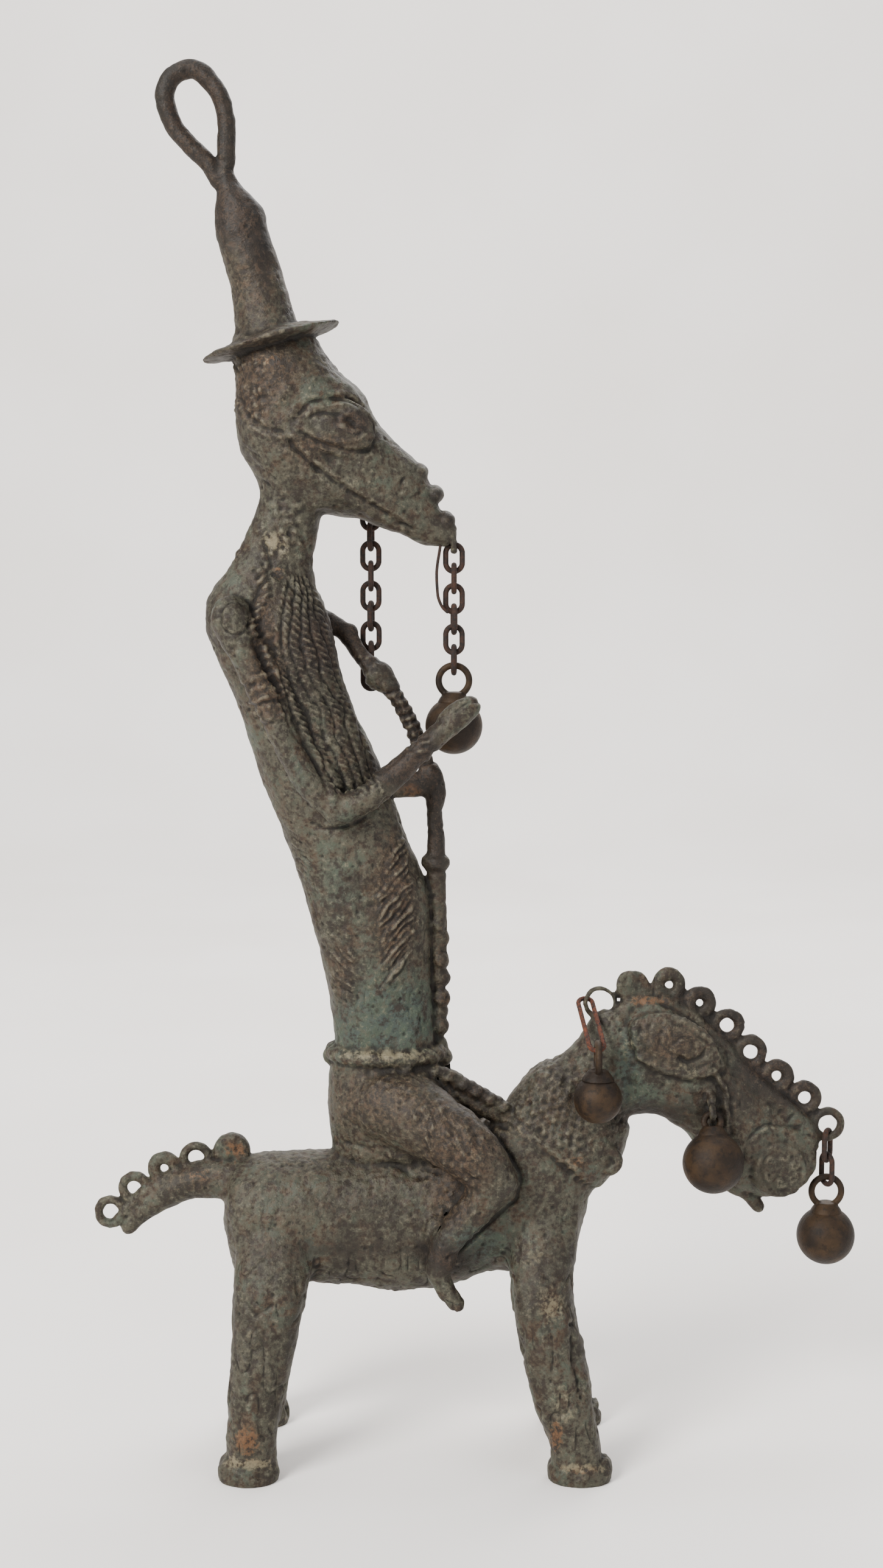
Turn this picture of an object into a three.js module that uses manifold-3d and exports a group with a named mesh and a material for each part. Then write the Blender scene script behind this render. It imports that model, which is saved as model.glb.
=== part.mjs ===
// Equestrian statuette: horse and rider cast in bronze as one piece, with iron chains and small bronze bells.
// Millimetres, +Z up, +X towards the horse's head, near side towards -Y.
// The origin is on the ground below the middle of the statuette.
import * as THREE from "three";
import { mergeVertices } from "three/addons/utils/BufferGeometryUtils.js";
import Module from "manifold-3d";

const wasm = await Module();
wasm.setup();

// Driving dimensions
const STATUE_HEIGHT = 700;      // ground to the top of the hanging loop
const HOOF_TRACK = 74;          // between the middles of the left and right hooves
const HOOF_HEIGHT = 9;          // straight rim under each hoof
const HOOF_WIDTH = 28;          // across the rim, side to side
const LOOP_ROD = 8.4;           // rod of the hanging loop on the headdress
const BRIM_DIAMETER = 70;       // disc of the headdress
const BRIM_EDGE = 2.4;          // thickness of the disc at its edge
const BAR_DIAMETER = 8.8;       // long bar held before the body
const EYELET_ROD = 2.6;         // cast eyelets that carry the chains and the bell at the cheek
const EYELET_DIAMETER = 10.4;
const MANE_RING_COUNT = 9;
const MANE_RING_DIAMETER = 17.6;
const MANE_RING_THICKNESS = 5;
const TAIL_RING_DIAMETER = 17;
const BOSS_DIAMETER = 15.6;     // ring boss on each side of the chest
const BOSS_ROD = 5.2;
const LINK_WIRE = 2.8;          // iron chain wire
const LINK_PITCH = 10.1;        // from link to link, for the chains between the face and the arms
const LINK_WIDTH = 11;          // outside
const MUZZLE_LINK_LENGTH = 18.4;
const LONG_LINK_LENGTH = 41;    // single long link at the horse's neck
const LONG_LINK_WIDTH = 9.6;
const LONG_LINK_WIRE = 2.4;
const NECK_LINK_PLAY = 0.45;    // more room where the long link grips its ring at a slant
const HOOK_WIRE = 1.5;          // thin bent wire beside the chin chain
const CHIN_BELL_DIAMETER = 28.6;
const MUZZLE_BELL_DIAMETER = 29.6;
const JAW_BELL_DIAMETER = 30.6;
const NECK_BELL_DIAMETER = 24;
const BELL_WALL = 1.6;
const BELL_SLIT = 3;            // sound slit under each bell
const BELL_LOOP_DIAMETER = 18.6;
const BELL_LOOP_ROD = 3.4;
const JAW_BELL_LOOP_DIAMETER = 11.6;
const CLEARANCE = 0.3;          // between pieces that touch
const JAW_BELL_LEAN = 0.33;     // radians, outwards from the cheek
const NECK_BELL_LEAN = 0.05;
const NECK_LINK_SLANT = 1.04;   // radians from straight down, outwards
const NECK_LINK_SWING = 0.13;   // radians, forwards
const FAR_CHAIN_LINKS = 9;
const CHIN_CHAIN_LINKS = 6;

// Middle line of the hanging loop. It is the highest form, so it sets the scale of every other drawn form.
const LOOP = [
  [-124.5, 641.8], [-121.4, 658.8], [-122.4, 676.8], [-129.4, 690.8], [-138, 695.8],
  [-147, 690.8], [-151, 683.4], [-147.4, 670.1], [-139, 659.8], [-128.5, 646.8],
];
const LOOP_TOP = Math.max(...LOOP.map(([, z]) => z));
const SCALE = (STATUE_HEIGHT - LOOP_ROD / 2) / LOOP_TOP;
const LINK_LENGTH = LINK_PITCH * SCALE + 2 * LINK_WIRE + CLEARANCE;
const BODY_SIDES = 8;
const LIMB_SIDES = 6;

const PATINA = { color: 0x66665a, roughness: 0.72, metalness: 0.45 };
const IRON_RUST = { color: 0x4b2d1b, roughness: 0.9, metalness: 0.2 };
const BELL_BRONZE = { color: 0x5f4834, roughness: 0.62, metalness: 0.5 };

// Joining and cutting

function solid(geometry) {
  const bare = geometry.clone();
  for (const name of Object.keys(bare.attributes)) {
    if (name !== "position") bare.deleteAttribute(name);
  }
  const merged = mergeVertices(bare, 1e-4);
  const triVerts = Uint32Array.from(merged.index.array);
  const vertProperties = Float32Array.from(merged.attributes.position.array);
  return new wasm.Manifold(new wasm.Mesh({ numProp: 3, vertProperties, triVerts }));
}

function joined(geometries) {
  return geometries.map(solid).reduce((sum, next) => sum.add(next));
}

function toGeometry(manifold) {
  const { vertProperties, triVerts, numProp } = manifold.getMesh();
  const count = vertProperties.length / numProp;
  const position = new Float32Array(count * 3);
  for (let i = 0; i < count; i += 1) {
    position.set(vertProperties.subarray(i * numProp, i * numProp + 3), i * 3);
  }
  const geometry = new THREE.BufferGeometry();
  geometry.setAttribute("position", new THREE.BufferAttribute(position, 3));
  geometry.setIndex(Array.from(triVerts));
  return geometry;
}

// Closed skins over rows of sections

function skin(rings) {
  const sides = rings[0].length;
  const points = rings.flat();
  const index = [];
  for (let r = 0; r + 1 < rings.length; r += 1) {
    for (let s = 0; s < sides; s += 1) {
      const a = r * sides + s;
      const b = r * sides + ((s + 1) % sides);
      index.push(a, b, a + sides, b, b + sides, a + sides);
    }
  }
  const middle = (ring) => ring.reduce((sum, p) => sum.add(p), new THREE.Vector3()).divideScalar(sides);
  const first = points.push(middle(rings[0])) - 1;
  const last = points.push(middle(rings.at(-1))) - 1;
  const top = (rings.length - 1) * sides;
  for (let s = 0; s < sides; s += 1) {
    const next = (s + 1) % sides;
    index.push(first, next, s);
    index.push(last, top + s, top + next);
  }
  const geometry = new THREE.BufferGeometry().setFromPoints(points);
  geometry.setIndex(index);
  return facingOut(geometry);
}

function facingOut(geometry) {
  const position = geometry.attributes.position;
  const index = geometry.index.array;
  const [a, b, c] = [new THREE.Vector3(), new THREE.Vector3(), new THREE.Vector3()];
  let volume = 0;
  for (let i = 0; i < index.length; i += 3) {
    a.fromBufferAttribute(position, index[i]);
    b.fromBufferAttribute(position, index[i + 1]);
    c.fromBufferAttribute(position, index[i + 2]);
    volume += a.dot(b.cross(c));
  }
  if (volume < 0) geometry.setIndex(Array.from(index).reverse());
  return geometry;
}

// A superellipse ring round a middle point, from two half-axes. Fullness 2 is an ellipse, more is squarer.
function section(middle, halfA, halfB, sides, fullness = 2) {
  const power = 2 / fullness;
  const ring = [];
  for (let i = 0; i < sides; i += 1) {
    const angle = (i / sides) * 2 * Math.PI;
    const u = Math.sign(Math.cos(angle)) * Math.abs(Math.cos(angle)) ** power;
    const v = Math.sign(Math.sin(angle)) * Math.abs(Math.sin(angle)) ** power;
    ring.push(middle.clone().addScaledVector(halfA, u).addScaledVector(halfB, v));
  }
  return ring;
}

const vec = (x, y, z) => new THREE.Vector3(x, y, z);
const scaled = (x, y, z) => vec(x, y, z).multiplyScalar(SCALE);

// Level sections: rows of height, back, front, half width and, for a leg, the middle's side offset.
function levelForm(rows, { side = () => 0, sides = BODY_SIDES, fullness = 2.3 } = {}) {
  return skin(rows.map(([z, back, front, half, offset = 0]) => section(
    vec(0, side(offset), 0).add(scaled((back + front) / 2, 0, z)),
    scaled((front - back) / 2, 0, 0),
    scaled(0, half, 0),
    sides,
    fullness,
  )));
}

// Upright sections across the length: rows of x, underside, top and half width.
function lengthForm(rows, { sides = BODY_SIDES, fullness = 2.3 } = {}) {
  return skin(rows.map(([x, low, high, half]) => section(
    scaled(x, 0, (low + high) / 2),
    scaled(0, 0, (high - low) / 2),
    scaled(0, half, 0),
    sides,
    fullness,
  )));
}

// A limb or rod through points of x, y, z and radius, with rounded ends.
function limb(rows, { sides = LIMB_SIDES } = {}) {
  const points = rows.map(([x, y, z]) => scaled(x, y, z));
  const radii = rows.map((row) => row[3] * SCALE);
  const rings = [];
  let across = vec(0, 1, 0);
  points.forEach((point, i) => {
    const before = points[Math.max(0, i - 1)];
    const after = points[Math.min(points.length - 1, i + 1)];
    const along = after.clone().sub(before).normalize();
    across = across.clone().addScaledVector(along, -across.dot(along)).normalize();
    const up = along.clone().cross(across);
    const ring = (shift, size) => section(
      point.clone().addScaledVector(along, shift),
      across.clone().multiplyScalar(size),
      up.clone().multiplyScalar(size),
      sides,
    );
    const round = radii[i] * 0.55;
    if (i === 0) rings.push(ring(-round, radii[i] * 0.6));
    rings.push(ring(0, radii[i]));
    if (i === points.length - 1) rings.push(ring(round, radii[i] * 0.6));
  });
  return skin(rings);
}

function ball(x, y, z, rx, ry, rz, turn = 0) {
  const sphere = new THREE.SphereGeometry(1, 6, 4);
  sphere.scale(rx * SCALE, ry * SCALE, rz * SCALE);
  sphere.rotateY(-turn);
  const place = scaled(x, y, z);
  return sphere.translate(place.x, place.y, place.z);
}

// A round ring from its outer diameter and rod, standing in the XZ plane and then turned about Z.
function ringGeometry(outer, rod, turn = 0, steps = 12, sides = 4) {
  const torus = new THREE.TorusGeometry((outer - rod) / 2, rod / 2, sides, steps);
  torus.rotateX(Math.PI / 2);
  return torus.rotateZ(turn);
}

function placed(geometry, point) {
  return geometry.translate(point.x, point.y, point.z);
}

const mirrored = (rows) => rows.map(([x, y, z, r]) => [x, -y, z, r]);

// Horse

const BARREL = [
  [-127, 119, 137, 12],
  [-124.8, 103, 149, 20],
  [-120, 91, 154.5, 28],
  [-100, 89, 158, 32],
  [-60, 88, 160, 30],
  [-38, 84, 162, 30],
  [10, 95, 177, 31],
  [32, 92, 184, 30],
  [49, 102, 170, 25],
  [57.5, 132, 156, 14],
];

// Legs: height, back, front, half width and share of the track, with the rim's reach behind and before.
const HIND_LEG = [
  [0, -124.5, -100.5, 12.5, 1],
  [18, -124.7, -99.5, 12, 1],
  [46, -123.4, -94.6, 13, 0.96],
  [74, -121.6, -88.5, 15, 0.87],
  [98, -121.6, -83, 17.5, 0.7],
  [130, -120, -80, 15, 0.4],
];

const FRONT_LEG = [
  [0, 38, 64, 12.5, 1],
  [16, 37.5, 63.4, 12, 1],
  [36, 29.8, 59.8, 12.5, 0.98],
  [64, 23.4, 54, 14, 0.9],
  [96, 17.6, 49.6, 17, 0.7],
  [132, 16, 54, 15, 0.4],
];

const NECK = [
  [132, 8, 53.5, 22],
  [150, 7, 70, 24],
  [165, 10, 76.2, 22],
  [180, 17, 79, 18.5],
  [199, 30, 90, 15.5],
  [209, 46, 94, 14],
  [229, 61, 92, 9],
];

const HEAD = [
  [60, 206, 230, 6],
  [77, 175, 234, 14],
  [90, 178, 236.6, 16],
  [104, 171, 232, 17],
  [130, 140, 206, 14],
  [150, 134, 185, 12],
  [166, 138, 171.5, 9.5],
  [175.2, 149, 160, 3.5],
];

const TAIL = [
  [-112, 0, 143, 13],
  [-128, 0, 144, 10.5],
  [-145, 0, 142, 8.5],
  [-160, 0, 134.2, 7],
  [-172, 0, 124.5, 5.2],
  [-178, 0, 116.5, 4],
];

function side(sign) {
  return (share) => sign * share * HOOF_TRACK / 2;
}

const HIND_RIM = [4.4, 2.6];
const FRONT_RIM = [1.6, 5];

function hoofRim(rows, [behind, before], sign) {
  const [, back, front] = rows[0];
  const rim = [
    [0, back - behind, front + before, HOOF_WIDTH / 2 / SCALE, 1],
    [HOOF_HEIGHT / SCALE, back - behind + 1, front + before - 1, (HOOF_WIDTH / 2 - 1) / SCALE, 1],
    [HOOF_HEIGHT / SCALE + 4, back - 1, front + 1, HOOF_WIDTH / 2 / SCALE - 3, 1],
  ];
  return levelForm(rim, { side: side(sign), fullness: 2.1 });
}

function horseLegs() {
  const legs = [];
  for (const [rows, reach] of [[HIND_LEG, HIND_RIM], [FRONT_LEG, FRONT_RIM]]) {
    for (const sign of [-1, 1]) {
      legs.push(levelForm(rows, { side: side(sign) }));
      legs.push(hoofRim(rows, reach, sign));
    }
  }
  return legs;
}

// The crest runs over nape and forehead; mane rings stand along it a ring apart.
const CREST = [
  [63.6, 235.1], [80.2, 243.7], [99.1, 244.4], [114.7, 234.7], [128.6, 223.1],
  [141.3, 208.7], [154.8, 196.2], [168.8, 185.4], [180.2, 172.1],
];
const CLOSED_MANE_RING = 1;
const MANE_HOLES = [12.4, 0, 4.6, 3.6, 7.6, 8, 6.4, 7.6, 10];
const CREST_DEPTH = 8.4;        // the crest's ridge lies this far below the ring middles
const CREST_RIDGE = 4.4;

const crestCurve = new THREE.CatmullRomCurve3(CREST.map(([x, z]) => scaled(x, 0, z)));

function maneRingRod(i) {
  return (MANE_RING_DIAMETER - (MANE_HOLES[i] ?? MANE_HOLES.at(-1))) / 2;
}

// The first and last mane rings carry links, so their rods stay round.
const carriesLink = (i) => i === 0 || i === MANE_RING_COUNT - 1;

function maneRingMiddle(i) {
  return crestCurve.getPoint(i / (MANE_RING_COUNT - 1));
}

function crestRidge() {
  const rows = [];
  for (let i = 1; i < MANE_RING_COUNT; i += 1) {
    const share = i / (MANE_RING_COUNT - 1);
    const along = crestCurve.getTangent(share);
    const below = vec(along.z, 0, -along.x).multiplyScalar(CREST_DEPTH * SCALE);
    const point = crestCurve.getPoint(share).add(below).divideScalar(SCALE);
    rows.push([point.x, 0, point.z, CREST_RIDGE]);
  }
  return limb(rows.slice(0, -1).concat([[174, 0, 165, CREST_RIDGE]]), { sides: 6 });
}

// A short web joins a ring to the form that carries it.
function web(ringMiddle, ringDiameter, foot) {
  const inwards = foot.clone().sub(ringMiddle).normalize();
  const start = ringMiddle.clone().addScaledVector(inwards, ringDiameter / 2 - 1).divideScalar(SCALE);
  const end = foot.clone().divideScalar(SCALE);
  return limb([[start.x, 0, start.z, 2.4], [end.x, 0, end.z, 2.6]], { sides: 4 });
}

function maneRings() {
  const rings = [crestRidge(), web(maneRingMiddle(0), MANE_RING_DIAMETER, scaled(75, 0, 222))];
  for (let i = 0; i < MANE_RING_COUNT; i += 1) {
    const place = maneRingMiddle(i);
    const rod = maneRingRod(i);
    if (i === CLOSED_MANE_RING) {
      const disc = new THREE.CylinderGeometry(
        MANE_RING_DIAMETER / 2,
        MANE_RING_DIAMETER / 2,
        MANE_RING_THICKNESS,
        10,
      );
      rings.push(placed(disc, place));
    } else {
      const ring = ringGeometry(MANE_RING_DIAMETER, rod);
      if (!carriesLink(i)) ring.scale(1, MANE_RING_THICKNESS / rod, 1);
      rings.push(placed(ring, place));
    }
  }
  return rings;
}

// Middle, hole, and how far forward and below the web's foot stands.
const TAIL_RINGS = [
  [-142.1, 154.5, 8.2, 0, 14], [-158.5, 149.1, 4.6, 2, 14], [-173.9, 138.8, 7, 6, 14],
  [-186.1, 126.2, 8.2, 11, 8],
];

function tailRings() {
  const disc = new THREE.CylinderGeometry(TAIL_RING_DIAMETER / 2, TAIL_RING_DIAMETER / 2, 7, 10);
  const root = ringGeometry(TAIL_RING_DIAMETER + 1.4, 4.6);
  const rings = [placed(disc, scaled(-124, 0, 158)), placed(root, scaled(-124, 0, 158.5))];
  for (const [x, z, hole, forward, below] of TAIL_RINGS) {
    const rod = (TAIL_RING_DIAMETER - hole) / 2;
    const ring = ringGeometry(TAIL_RING_DIAMETER, rod);
    ring.scale(1, MANE_RING_THICKNESS / rod, 1);
    const foot = scaled(x + forward, 0, z - below);
    rings.push(placed(ring, scaled(x, 0, z)), web(scaled(x, 0, z), TAIL_RING_DIAMETER, foot));
  }
  return rings;
}

function horseFace() {
  const forms = [];
  for (const sign of [-1, 1]) {
    forms.push(ball(99, sign * 15, 216.5, 20.5, 5, 13, -0.44));
    const roundel = new THREE.CylinderGeometry(13.6 * SCALE, 14.6 * SCALE, 6 * SCALE, 12);
    roundel.rotateX(sign > 0 ? 0 : Math.PI);
    forms.push(placed(roundel, scaled(154, sign * 11, 151)));
    forms.push(placed(ringGeometry(BOSS_DIAMETER, BOSS_ROD), scaled(67, sign * 17, 158)));
    forms.push(limb([[127, sign * 13, 203, 2.2], [131, sign * 14.5, 190, 2.4], [128, sign * 15, 174, 2.2]]));
  }
  forms.push(limb([[125, 0, 144.5, 5], [134, 0, 139, 4.2], [140, 0, 135.5, 3.8], [145.2, 0, 129.2, 3.4]]));
  return forms;
}

// The harness collar is the neck made fuller inside a slanting slab.
function collar() {
  const fuller = 3;
  const wide = NECK.map(([z, back, front, half]) => [z, back - fuller, front + fuller * 0.6, half + fuller]);
  const slab = new THREE.BoxGeometry(120 * SCALE, 90 * SCALE, 36 * SCALE);
  slab.rotateY(0.62);
  const place = scaled(44, 0, 177);
  slab.translate(place.x, place.y, place.z);
  return solid(levelForm(wide)).intersect(solid(slab));
}

// Rider

const TORSO = [
  [158, -72, 4, 20],
  [184, -74.5, -9, 23.5],
  [215, -71.2, -20, 20.5],
  [255, -77, -22, 21],
  [292, -86, -22, 21.5],
  [325, -97, -36, 22.5],
  [365, -111.6, -51.5, 23],
  [396, -122.8, -65, 23.5],
  [426, -134, -71.5, 25],
  [442, -132, -78, 20],
  [456, -121, -80, 15.5],
  [494, -106.5, -72, 16],
];

const SKULL = [
  [484, -107.5, -62, 15],
  [498, -108, -60, 20],
  [514, -117.4, -58, 25],
  [537, -119.5, -54.5, 27],
  [552, -119, -67, 27],
  [567, -119, -78, 23],
];

const MUZZLE = [
  [-80, 484, 534, 21],
  [-56, 478.5, 541, 21],
  [-50, 475.8, 528.6, 19],
  [-36, 471, 513.5, 15.5],
  [-27, 466, 506, 12],
  [-23, 465, 498, 10],
  [-17, 467, 486, 7.5],
  [-8.5, 468.6, 475, 4.5],
];

const HEADDRESS = [
  [556, -118, -78, 20],
  [574, -118.6, -88, 16],
  [588, -119.5, -91.6, 14],
  [598, -121.6, -95, 13.4],
  [608, -124.5, -97.8, 13.4],
  [618, -127.3, -101, 13],
  [628, -127, -103.6, 11.5],
  [638.5, -126.2, -112.4, 7],
  [647, -128.6, -117.6, 5],
];

function hangingLoop() {
  return limb(LOOP.map(([x, z]) => [x, 0, z, LOOP_ROD / 2 / SCALE]), { sides: 8 });
}

// The brim is a turned disc, thick at the head and thin at its edge, tilted up to the front.
function brim() {
  const edge = BRIM_DIAMETER / 2;
  const thick = 10 * SCALE;
  const profile = [
    [0, -thick / 2],
    [edge, -BRIM_EDGE / 2],
    [edge, BRIM_EDGE / 2],
    [0, thick / 2],
  ];
  const disc = new THREE.LatheGeometry(profile.map(([r, h]) => new THREE.Vector2(r, h)), 16);
  disc.rotateX(Math.PI / 2);
  disc.rotateY(-0.283);
  return placed(disc, scaled(-100.6, 0, 565.4));
}

// Face in broad forms: bulging eyes, brow bars, lips and nose tip.
function faceForms() {
  const forms = [];
  for (const sign of [-1, 1]) {
    forms.push(ball(-67, sign * 23.5, 523.5, 16.5, 6, 11.5, -0.2));
    forms.push(limb([
      [-92, sign * 26, 528, 2], [-78, sign * 27, 538.5, 2.4], [-60, sign * 23, 537, 2.2],
    ]));
    forms.push(limb([
      [-101, sign * 20, 505, 2.4], [-104, sign * 23.5, 520, 3], [-97, sign * 26, 532, 2.4],
    ]));
  }
  forms.push(ball(-26.5, 0, 503, 4.5, 9, 5));
  forms.push(ball(-20.5, 0, 491, 5, 8.5, 4.4));
  forms.push(ball(-15.5, 0, 477.6, 5.4, 7.5, 4.8));
  return forms;
}

const NEAR_ARM = [
  [-119, -24, 431, 10.5], [-111.6, -27.5, 411.8, 7.6], [-101.7, -29, 392, 7],
  [-90.8, -29, 367.5, 6.8], [-78.5, -29, 347.5, 6.8], [-66.5, -29, 337, 7.4],
];
const NEAR_FOREARM = [
  [-66.5, -29, 337, 7.2], [-55, -28, 342, 7], [-44.6, -27, 350.6, 6.6], [-29.8, -25.5, 363.7, 6],
  [-15, -24, 376.6, 5.4], [-3.5, -22.5, 387, 5.4],
];
const FAR_ARM = [
  [-102, 19, 430, 9], [-84, 19, 430, 5.2], [-67.5, 16, 423.6, 4.6], [-56, 11.5, 409, 4.5],
  [-50, 8.6, 403, 6.4], [-44.5, 8, 396.6, 6.4], [-39, 7.5, 389, 4.5], [-30, 6, 371.5, 4.4],
];
const BAR_X = -19.6;
const BRAID_TOP = 276;
const BRAID_FOOT = 210;
const BRAID_BEADS = 6;

// The bar runs down from the far arm with two knobs, and below them as a braid of beads.
function barRows() {
  const rod = BAR_DIAMETER / 2 / SCALE;
  const rows = [
    [-30, 6, 371.5, rod], [-24.5, 2.5, 357, rod], [-20.4, 0, 347, rod * 1.35], [-20.6, 0, 338, rod],
    [BAR_X, 0, 311, rod], [BAR_X, 0, 308, rod * 1.6], [BAR_X, 0, 304, rod * 1.6], [BAR_X, 0, 301, rod],
  ];
  const step = (BRAID_TOP - BRAID_FOOT) / (BRAID_BEADS - 1);
  for (let i = 0; i < BRAID_BEADS; i += 1) {
    const z = BRAID_TOP - i * step;
    rows.push([-18.8, 0, z + step / 2, rod], [-18.6, 0, z, rod * 1.4]);
  }
  return rows;
}

function armsAndBar() {
  const forms = [limb(NEAR_ARM), limb(NEAR_FOREARM), limb(FAR_ARM)];
  for (const [x, z] of [[-102.6, 396], [-100.2, 391]]) {
    const band = ringGeometry(17.6 * SCALE, 3.4 * SCALE, 0, 8);
    band.rotateX(Math.PI / 2);
    band.rotateY(-0.45);
    forms.push(placed(band, scaled(x, -29, z)));
  }
  forms.push(limb(barRows()));
  const strut = new THREE.BoxGeometry(26 * SCALE, 9 * SCALE, 16 * SCALE);
  forms.push(placed(strut, scaled(-34, 0, 346.5)));
  return forms;
}

// The belt is a rope round the waist.
function belt() {
  const steps = 16;
  const rings = [];
  const back = -75.5;
  const front = -14;
  const half = 23.5;
  for (let i = 0; i < steps; i += 1) {
    const angle = (i / steps) * 2 * Math.PI;
    const out = vec(Math.cos(angle), Math.sin(angle), 0);
    const swell = i % 2 === 0 ? 5 : 4.2;
    const middle = scaled(
      (back + front) / 2 + ((front - back) / 2 - 5) * out.x,
      (half - 3) * out.y,
      210.3,
    );
    rings.push(section(middle, out.clone().multiplyScalar(swell * SCALE), scaled(0, 0, 5.6), 4));
  }
  return closedTube(rings);
}

function closedTube(rings) {
  const sides = rings[0].length;
  const index = [];
  rings.forEach((ring, r) => {
    const nextRing = ((r + 1) % rings.length) * sides;
    for (let s = 0; s < sides; s += 1) {
      const next = (s + 1) % sides;
      index.push(r * sides + s, nextRing + s, r * sides + next);
      index.push(r * sides + next, nextRing + s, nextRing + next);
    }
  });
  const geometry = new THREE.BufferGeometry().setFromPoints(rings.flat());
  geometry.setIndex(index);
  return facingOut(geometry);
}

const NEAR_THIGH = [
  [-42, -20, 184, 17], [-28, -27, 180.5, 17.5], [-12, -33, 174, 16.5], [2, -36, 163, 14.5],
  [10.5, -37, 152.5, 11],
];
const NEAR_SHIN = [
  [9, -37, 151, 11], [2, -37, 141, 10], [-8, -37, 129, 8.6], [-17, -37, 117.5, 7.4],
  [-18.6, -38, 106, 6.2], [-14.8, -39, 98.5, 5.4], [-9.8, -40, 91, 4.6],
];

function riderLegs() {
  const forms = [];
  for (const rows of [NEAR_THIGH, NEAR_SHIN]) {
    forms.push(limb(rows, { sides: 8 }), limb(mirrored(rows), { sides: 8 }));
  }
  forms.push(limb([
    [-26, -14, 204, 4.6], [-12, -12, 197.5, 4.6], [-2, -11, 191.5, 4.6], [6, -10, 187, 4.6],
    [15, -9, 181, 4.6],
  ]));
  return forms;
}

// Dress of the torso: raised locks down the chest and a slanting feather band on each side.
function torsoRelief() {
  const forms = [];
  const locks = 2;
  for (const sign of [-1, 1]) {
    for (let i = 0; i < locks; i += 1) {
      const share = i / (locks - 1);
      const top = -100 + 17 * share;
      forms.push(limb([
        [top, sign * (22.5 - 3 * share), 432, 2.4],
        [top + 6, sign * (23 - 3 * share), 400, 2.4],
        [top + 17, sign * (22 - 3 * share), 364, 1.8],
      ], { sides: 4 }));
    }
    forms.push(limb([[-38, sign * 17.5, 322, 5], [-50, sign * 19, 240, 5]], { sides: 4 }));
  }
  return forms;
}

// Eyelets that carry the chains are part of the casting.
const FAR_EYELET = scaled(-52.5, 21, 488);
const CHIN_EYELET = scaled(-10.6, 0, 467.1);
const JAW_EYELET = scaled(118.5, -22, 183.4);

function eyelet(point) {
  return placed(ringGeometry(EYELET_DIAMETER, EYELET_ROD, Math.PI / 2), point);
}

function castEyelets() {
  return [
    eyelet(FAR_EYELET),
    eyelet(CHIN_EYELET),
    eyelet(JAW_EYELET),
    limb([[-54, 14, 498, 3], [-52.5, 19, 493.5, 2]]),
    limb([[118.5, -12, 193, 3], [118.5, -19.6, 187.8, 2]]),
  ];
}

function horseAndRider() {
  const forms = [
    lengthForm(BARREL),
    levelForm(NECK),
    lengthForm(HEAD, { fullness: 2.2 }),
    limb(TAIL, { sides: 8 }),
    levelForm(TORSO),
    levelForm(SKULL, { fullness: 2.4 }),
    lengthForm(MUZZLE),
    levelForm(HEADDRESS, { fullness: 2 }),
    hangingLoop(),
    brim(),
    belt(),
    ...horseLegs(),
    ...horseFace(),
    ...maneRings(),
    ...tailRings(),
    ...faceForms(),
    ...armsAndBar(),
    ...riderLegs(),
    ...torsoRelief(),
    ...castEyelets(),
  ];
  return toGeometry(joined(forms).add(collar()));
}

// Chain and bells

// A chain link stands in the XZ plane, its middle at the origin, and is turned about Z.
function link(length, width, wire, turn = 0) {
  const radius = (width - wire) / 2;
  const straight = (length - wire) / 2 - radius;
  const half = 4;
  const rings = [];
  for (const end of [1, -1]) {
    for (let i = 0; i <= half; i += 1) {
      const angle = (end > 0 ? 0 : Math.PI) + (i / half) * Math.PI;
      const out = vec(Math.cos(angle), 0, Math.sin(angle));
      const middle = out.clone().multiplyScalar(radius).add(vec(0, 0, end * straight));
      rings.push(section(middle, out.clone().multiplyScalar(wire / 2), vec(0, wire / 2, 0), 4));
    }
  }
  return closedTube(rings).rotateZ(turn);
}

const pieces = new THREE.Group();

function addPiece(name, geometry, finish, place = vec(0, 0, 0)) {
  const mesh = new THREE.Mesh(geometry, new THREE.MeshStandardMaterial(finish));
  mesh.name = name;
  mesh.position.copy(place);
  pieces.add(mesh);
  return mesh;
}

// Straight down, or down and outwards by a lean towards the near side.
const down = (distance, lean = 0) => vec(0, -distance * Math.sin(lean), -distance * Math.cos(lean));

// From the middle of the rod that carries a link to the link's own middle.
function hangDepth(rod, length, wire) {
  return (length - wire) / 2 - (rod + wire) / 2 - CLEARANCE;
}

function lowestRodOf(point, outer, rod, lean = 0) {
  return point.clone().add(down((outer - rod) / 2, lean));
}

// Equal links hung from a rod. Returns the middle of the rod at the last link's lower end.
function chain(names, carrier, rod, length, turns) {
  let carrying = carrier;
  let carryingRod = rod;
  names.forEach((name, i) => {
    const middle = carrying.clone().add(down(hangDepth(carryingRod, length, LINK_WIRE)));
    addPiece(name, link(length, LINK_WIDTH, LINK_WIRE, turns(i)), IRON_RUST, middle);
    carrying = middle.clone().add(down((length - LINK_WIRE) / 2));
    carryingRod = LINK_WIRE;
  });
  return carrying;
}

const numbered = (name, count) => Array.from({ length: count }, (_, i) => `${name}_${i + 1}`);

const NECK_HEIGHT = 5;          // tapered neck between a bell's ball and its loop

// Height of the loop's middle over the ball's middle.
const loopRise = (diameter, loop) => diameter / 2 + loop / 2 - 1;

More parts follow.
